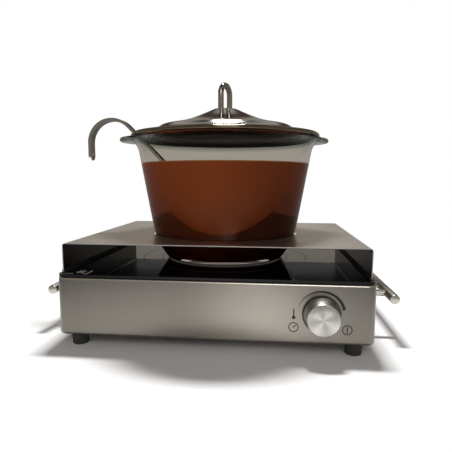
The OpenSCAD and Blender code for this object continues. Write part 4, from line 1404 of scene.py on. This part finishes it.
class DressFrame(bpy.types.Operator):
    """Give every part of the frame that stays visible its finish"""

    bl_idname = "melting_pot.dress_frame"
    bl_label = "Frame finishes"

    def execute(self, context):
        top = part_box("bridge")[1]
        # The space under the bridge, whose inner faces get painted shade
        inside = (top.x - 1 * MM, top.z - 1 * MM)
        special = {
            # Painted shade: the case's dark tone and its darker ends. Painted highlights: its gleam and
            # top fold.
            "case_shell": brushed_steel(
                "case_steel", (0.27, 0.250, 0.220), 0, 0.28, shade=0.35, gleam=(0.055, 0.13),
                fold=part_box("case_shell")[1].z,
            ),
            # Painted shade: the bridge's darker ends and its dark inner faces.
            "bridge": brushed_steel(
                "bridge_steel", (0.84, 0.80, 0.74), 0, 0.29, shade=0.3, inside=inside
            ),
            "glass_top": hob_glass("hob_glass"),
        }
        half_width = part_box("ladle_handle")[1].y
        # The ladle's dark tone is painted shade.
        pressed = ladle_steel("ladle_steel", (0.44, 0.41, 0.36), half_width)
        turned = brushed_steel("post_steel", (0.60, 0.57, 0.52), grain=0, roughness=0.24)
        special.update({"ladle_handle": pressed, "ladle_bowl": pressed})
        special.update({"posts_left": turned, "posts_right": turned})
        record = frame["record"]
        slots = {entry["slot"]: entry for entry in record["materials"]}
        made = {}
        for part in record["subparts"]:
            node = frame["nodes"][part["node"]]
            if node.hide_render:
                continue
            slot = part["material_slot"]
            if part["node"] not in special and slot not in made:
                made[slot] = plain_finish(slots[slot])
            node.data.materials.clear()
            node.data.materials.append(special.get(part["node"]) or made[slot])
        return {"FINISHED"}


# ---- Stage ----


def floor_finish(clear):
    """White floor that shows shadows near the middle and fades to plain white."""
    finish = Finish("floor")
    fade = finish.ramp(finish.radius(), clear * 0.62, clear)
    matte = finish.node("ShaderNodeBsdfDiffuse", inputs={"Color": (0.86, 0.86, 0.86, 1.0)})
    seen = Number(finish, finish.node("ShaderNodeLightPath").outputs["Is Camera Ray"])
    glow = finish.node("ShaderNodeEmission", inputs={"Strength": seen * 0.72 + 0.28})
    blend = finish.node(
        "ShaderNodeMixShader", inputs={0: fade, 1: matte.outputs[0], 2: glow.outputs[0]}
    )
    finish.node("ShaderNodeOutputMaterial", inputs={"Surface": blend.outputs[0]})
    return finish.material


# Colour of the room in reflections, by height from the horizon at 0 to overhead at 1
ROOM_TONES = (
    (0.001, (0.34, 0.31, 0.27)),
    (0.20, (0.33, 0.30, 0.26)),
    (0.36, (0.060, 0.042, 0.032)),
    (0.50, (0.060, 0.045, 0.036)),
    (0.62, (0.42, 0.40, 0.37)),
    (0.76, (0.36, 0.34, 0.32)),
    (0.90, (0.035, 0.033, 0.030)),
)


class BuildStage(bpy.types.Operator):
    """Set up the floor, the lights and the camera"""

    bl_idname = "melting_pot.build_stage"
    bl_label = "Stage"

    def execute(self, context):
        stage = context.scene.melting_pot_stage
        self.build_floor(stage)
        self.build_sky(context.scene)
        self.build_lights(stage)
        self.build_camera(context.scene, stage)
        context.scene.view_settings.view_transform = "Standard"
        return {"FINISHED"}

    def build_floor(self, stage):
        shape = bmesh.new()
        bmesh.ops.create_circle(shape, cap_ends=True, segments=96, radius=stage.floor_radius)
        floor = as_object("floor", shape)
        floor.data.materials.append(floor_finish(stage.floor_clear))
        floor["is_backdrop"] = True

    def build_sky(self, scene):
        """White behind the object, and a dim room in reflections."""
        world = bpy.data.worlds.new("room")
        world.use_nodes = True
        scene.world = world
        sky = Recipe(world.node_tree)
        direction = sky.node("ShaderNodeTexCoord").outputs["Generated"]
        height = sky.node("ShaderNodeSeparateXYZ", inputs={0: direction}).outputs[2]
        ramp = sky.node("ShaderNodeValToRGB", inputs={0: height})
        stops = ramp.color_ramp.elements
        stops.remove(stops[1])
        for place, tone in ROOM_TONES:
            stop = stops.new(place)
            stop.color = (*tone, 1.0)
        stops.remove(stops[0])
        room = sky.node("ShaderNodeBackground", inputs={"Color": ramp.outputs[0], "Strength": 1.0})
        white = sky.node("ShaderNodeBackground", inputs={"Color": (1.0, 1.0, 1.0, 1.0)})
        seen = sky.node("ShaderNodeLightPath").outputs["Is Camera Ray"]
        mix = sky.node("ShaderNodeMixShader", inputs={0: seen, 1: room.outputs[0], 2: white.outputs[0]})
        sky.node("ShaderNodeOutputWorld", inputs={"Surface": mix.outputs[0]})

    def build_lights(self, stage):
        """A light overhead and a weak, large one in front."""
        add_light("key_light", stage.key_power, stage.key_place, (0.0, 0.0, 0.1), 0.34, 0.11)
        add_light("fill_light", stage.fill_power, stage.fill_place, (0.05, 0.0, 0.1), 0.9, 0.9)

    def build_camera(self, scene, stage):
        data = bpy.data.cameras.new("camera")
        data.sensor_width = 36.0
        data.lens = stage.lens
        data.shift_y = stage.shift
        data.clip_start = 0.01
        camera = bpy.data.objects.new("camera", data)
        scene.collection.objects.link(camera)
        heading = Euler((math.pi / 2 - stage.pitch, 0.0, stage.yaw)).to_matrix().to_4x4()
        tilt = Matrix.Rotation(stage.roll, 4, "Z")
        camera.matrix_world = Matrix.Translation(stage.eye) @ heading @ tilt
        scene.camera = camera


def add_light(name, power, place, target, width, depth):
    """Adds a rectangular area light that faces a point."""
    data = bpy.data.lights.new(name, "AREA")
    data.shape = "RECTANGLE"
    data.size = width
    data.size_y = depth
    data.energy = power
    light = bpy.data.objects.new(name, data)
    bpy.context.scene.collection.objects.link(light)
    light.location = place
    aim = Vector(target) - Vector(place)
    light.rotation_euler = aim.to_track_quat("-Z", "Y").to_euler()


# ---- Add-on ----


class MeltingPotPanel(bpy.types.Panel):
    """Buttons that build each piece"""

    bl_idname = "VIEW3D_PT_melting_pot"
    bl_label = "Melting Pot"
    bl_space_type = "VIEW_3D"
    bl_region_type = "UI"
    bl_category = "Melting Pot"

    def draw(self, _context):
        for operator in OPERATORS:
            self.layout.operator(operator.bl_idname)


SETTINGS = {
    "melting_pot_glass": PotSettings,
    "melting_pot_wax": WaxSettings,
    "melting_pot_lid": LidSettings,
    "melting_pot_knob": KnobSettings,
    "melting_pot_bars": BarSettings,
    "melting_pot_prints": PrintSettings,
    "melting_pot_screws": ScrewSettings,
    "melting_pot_stage": StageSettings,
}

OPERATORS = (
    BuildPot, BuildWax, BuildLid, BuildKnob, BuildBars, BuildScrews, BuildPrints, DressFrame, BuildStage
)


def register():
    for group in SETTINGS.values():
        bpy.utils.register_class(group)
    for name, group in SETTINGS.items():
        setattr(bpy.types.Scene, name, PointerProperty(type=group))
    for operator in OPERATORS:
        bpy.utils.register_class(operator)
    bpy.utils.register_class(MeltingPotPanel)


def unregister():
    bpy.utils.unregister_class(MeltingPotPanel)
    for operator in reversed(OPERATORS):
        bpy.utils.unregister_class(operator)
    for name in SETTINGS:
        delattr(bpy.types.Scene, name)
    for group in reversed(SETTINGS.values()):
        bpy.utils.unregister_class(group)


def corners():
    """The shown object's lowest and highest corner, as plain lists."""
    return [list(corner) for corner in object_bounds()]


def main():
    """Registers the add-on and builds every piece."""
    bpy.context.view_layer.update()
    register()
    bpy.ops.melting_pot.build_pot()
    bpy.ops.melting_pot.build_wax()
    bpy.ops.melting_pot.build_lid()
    bpy.ops.melting_pot.build_knob()
    bpy.ops.melting_pot.build_bars()
    bpy.ops.melting_pot.build_screws()
    bpy.ops.melting_pot.build_prints()
    bpy.ops.melting_pot.dress_frame()
    bpy.ops.melting_pot.build_stage()


if __name__ == "__main__":
    main()
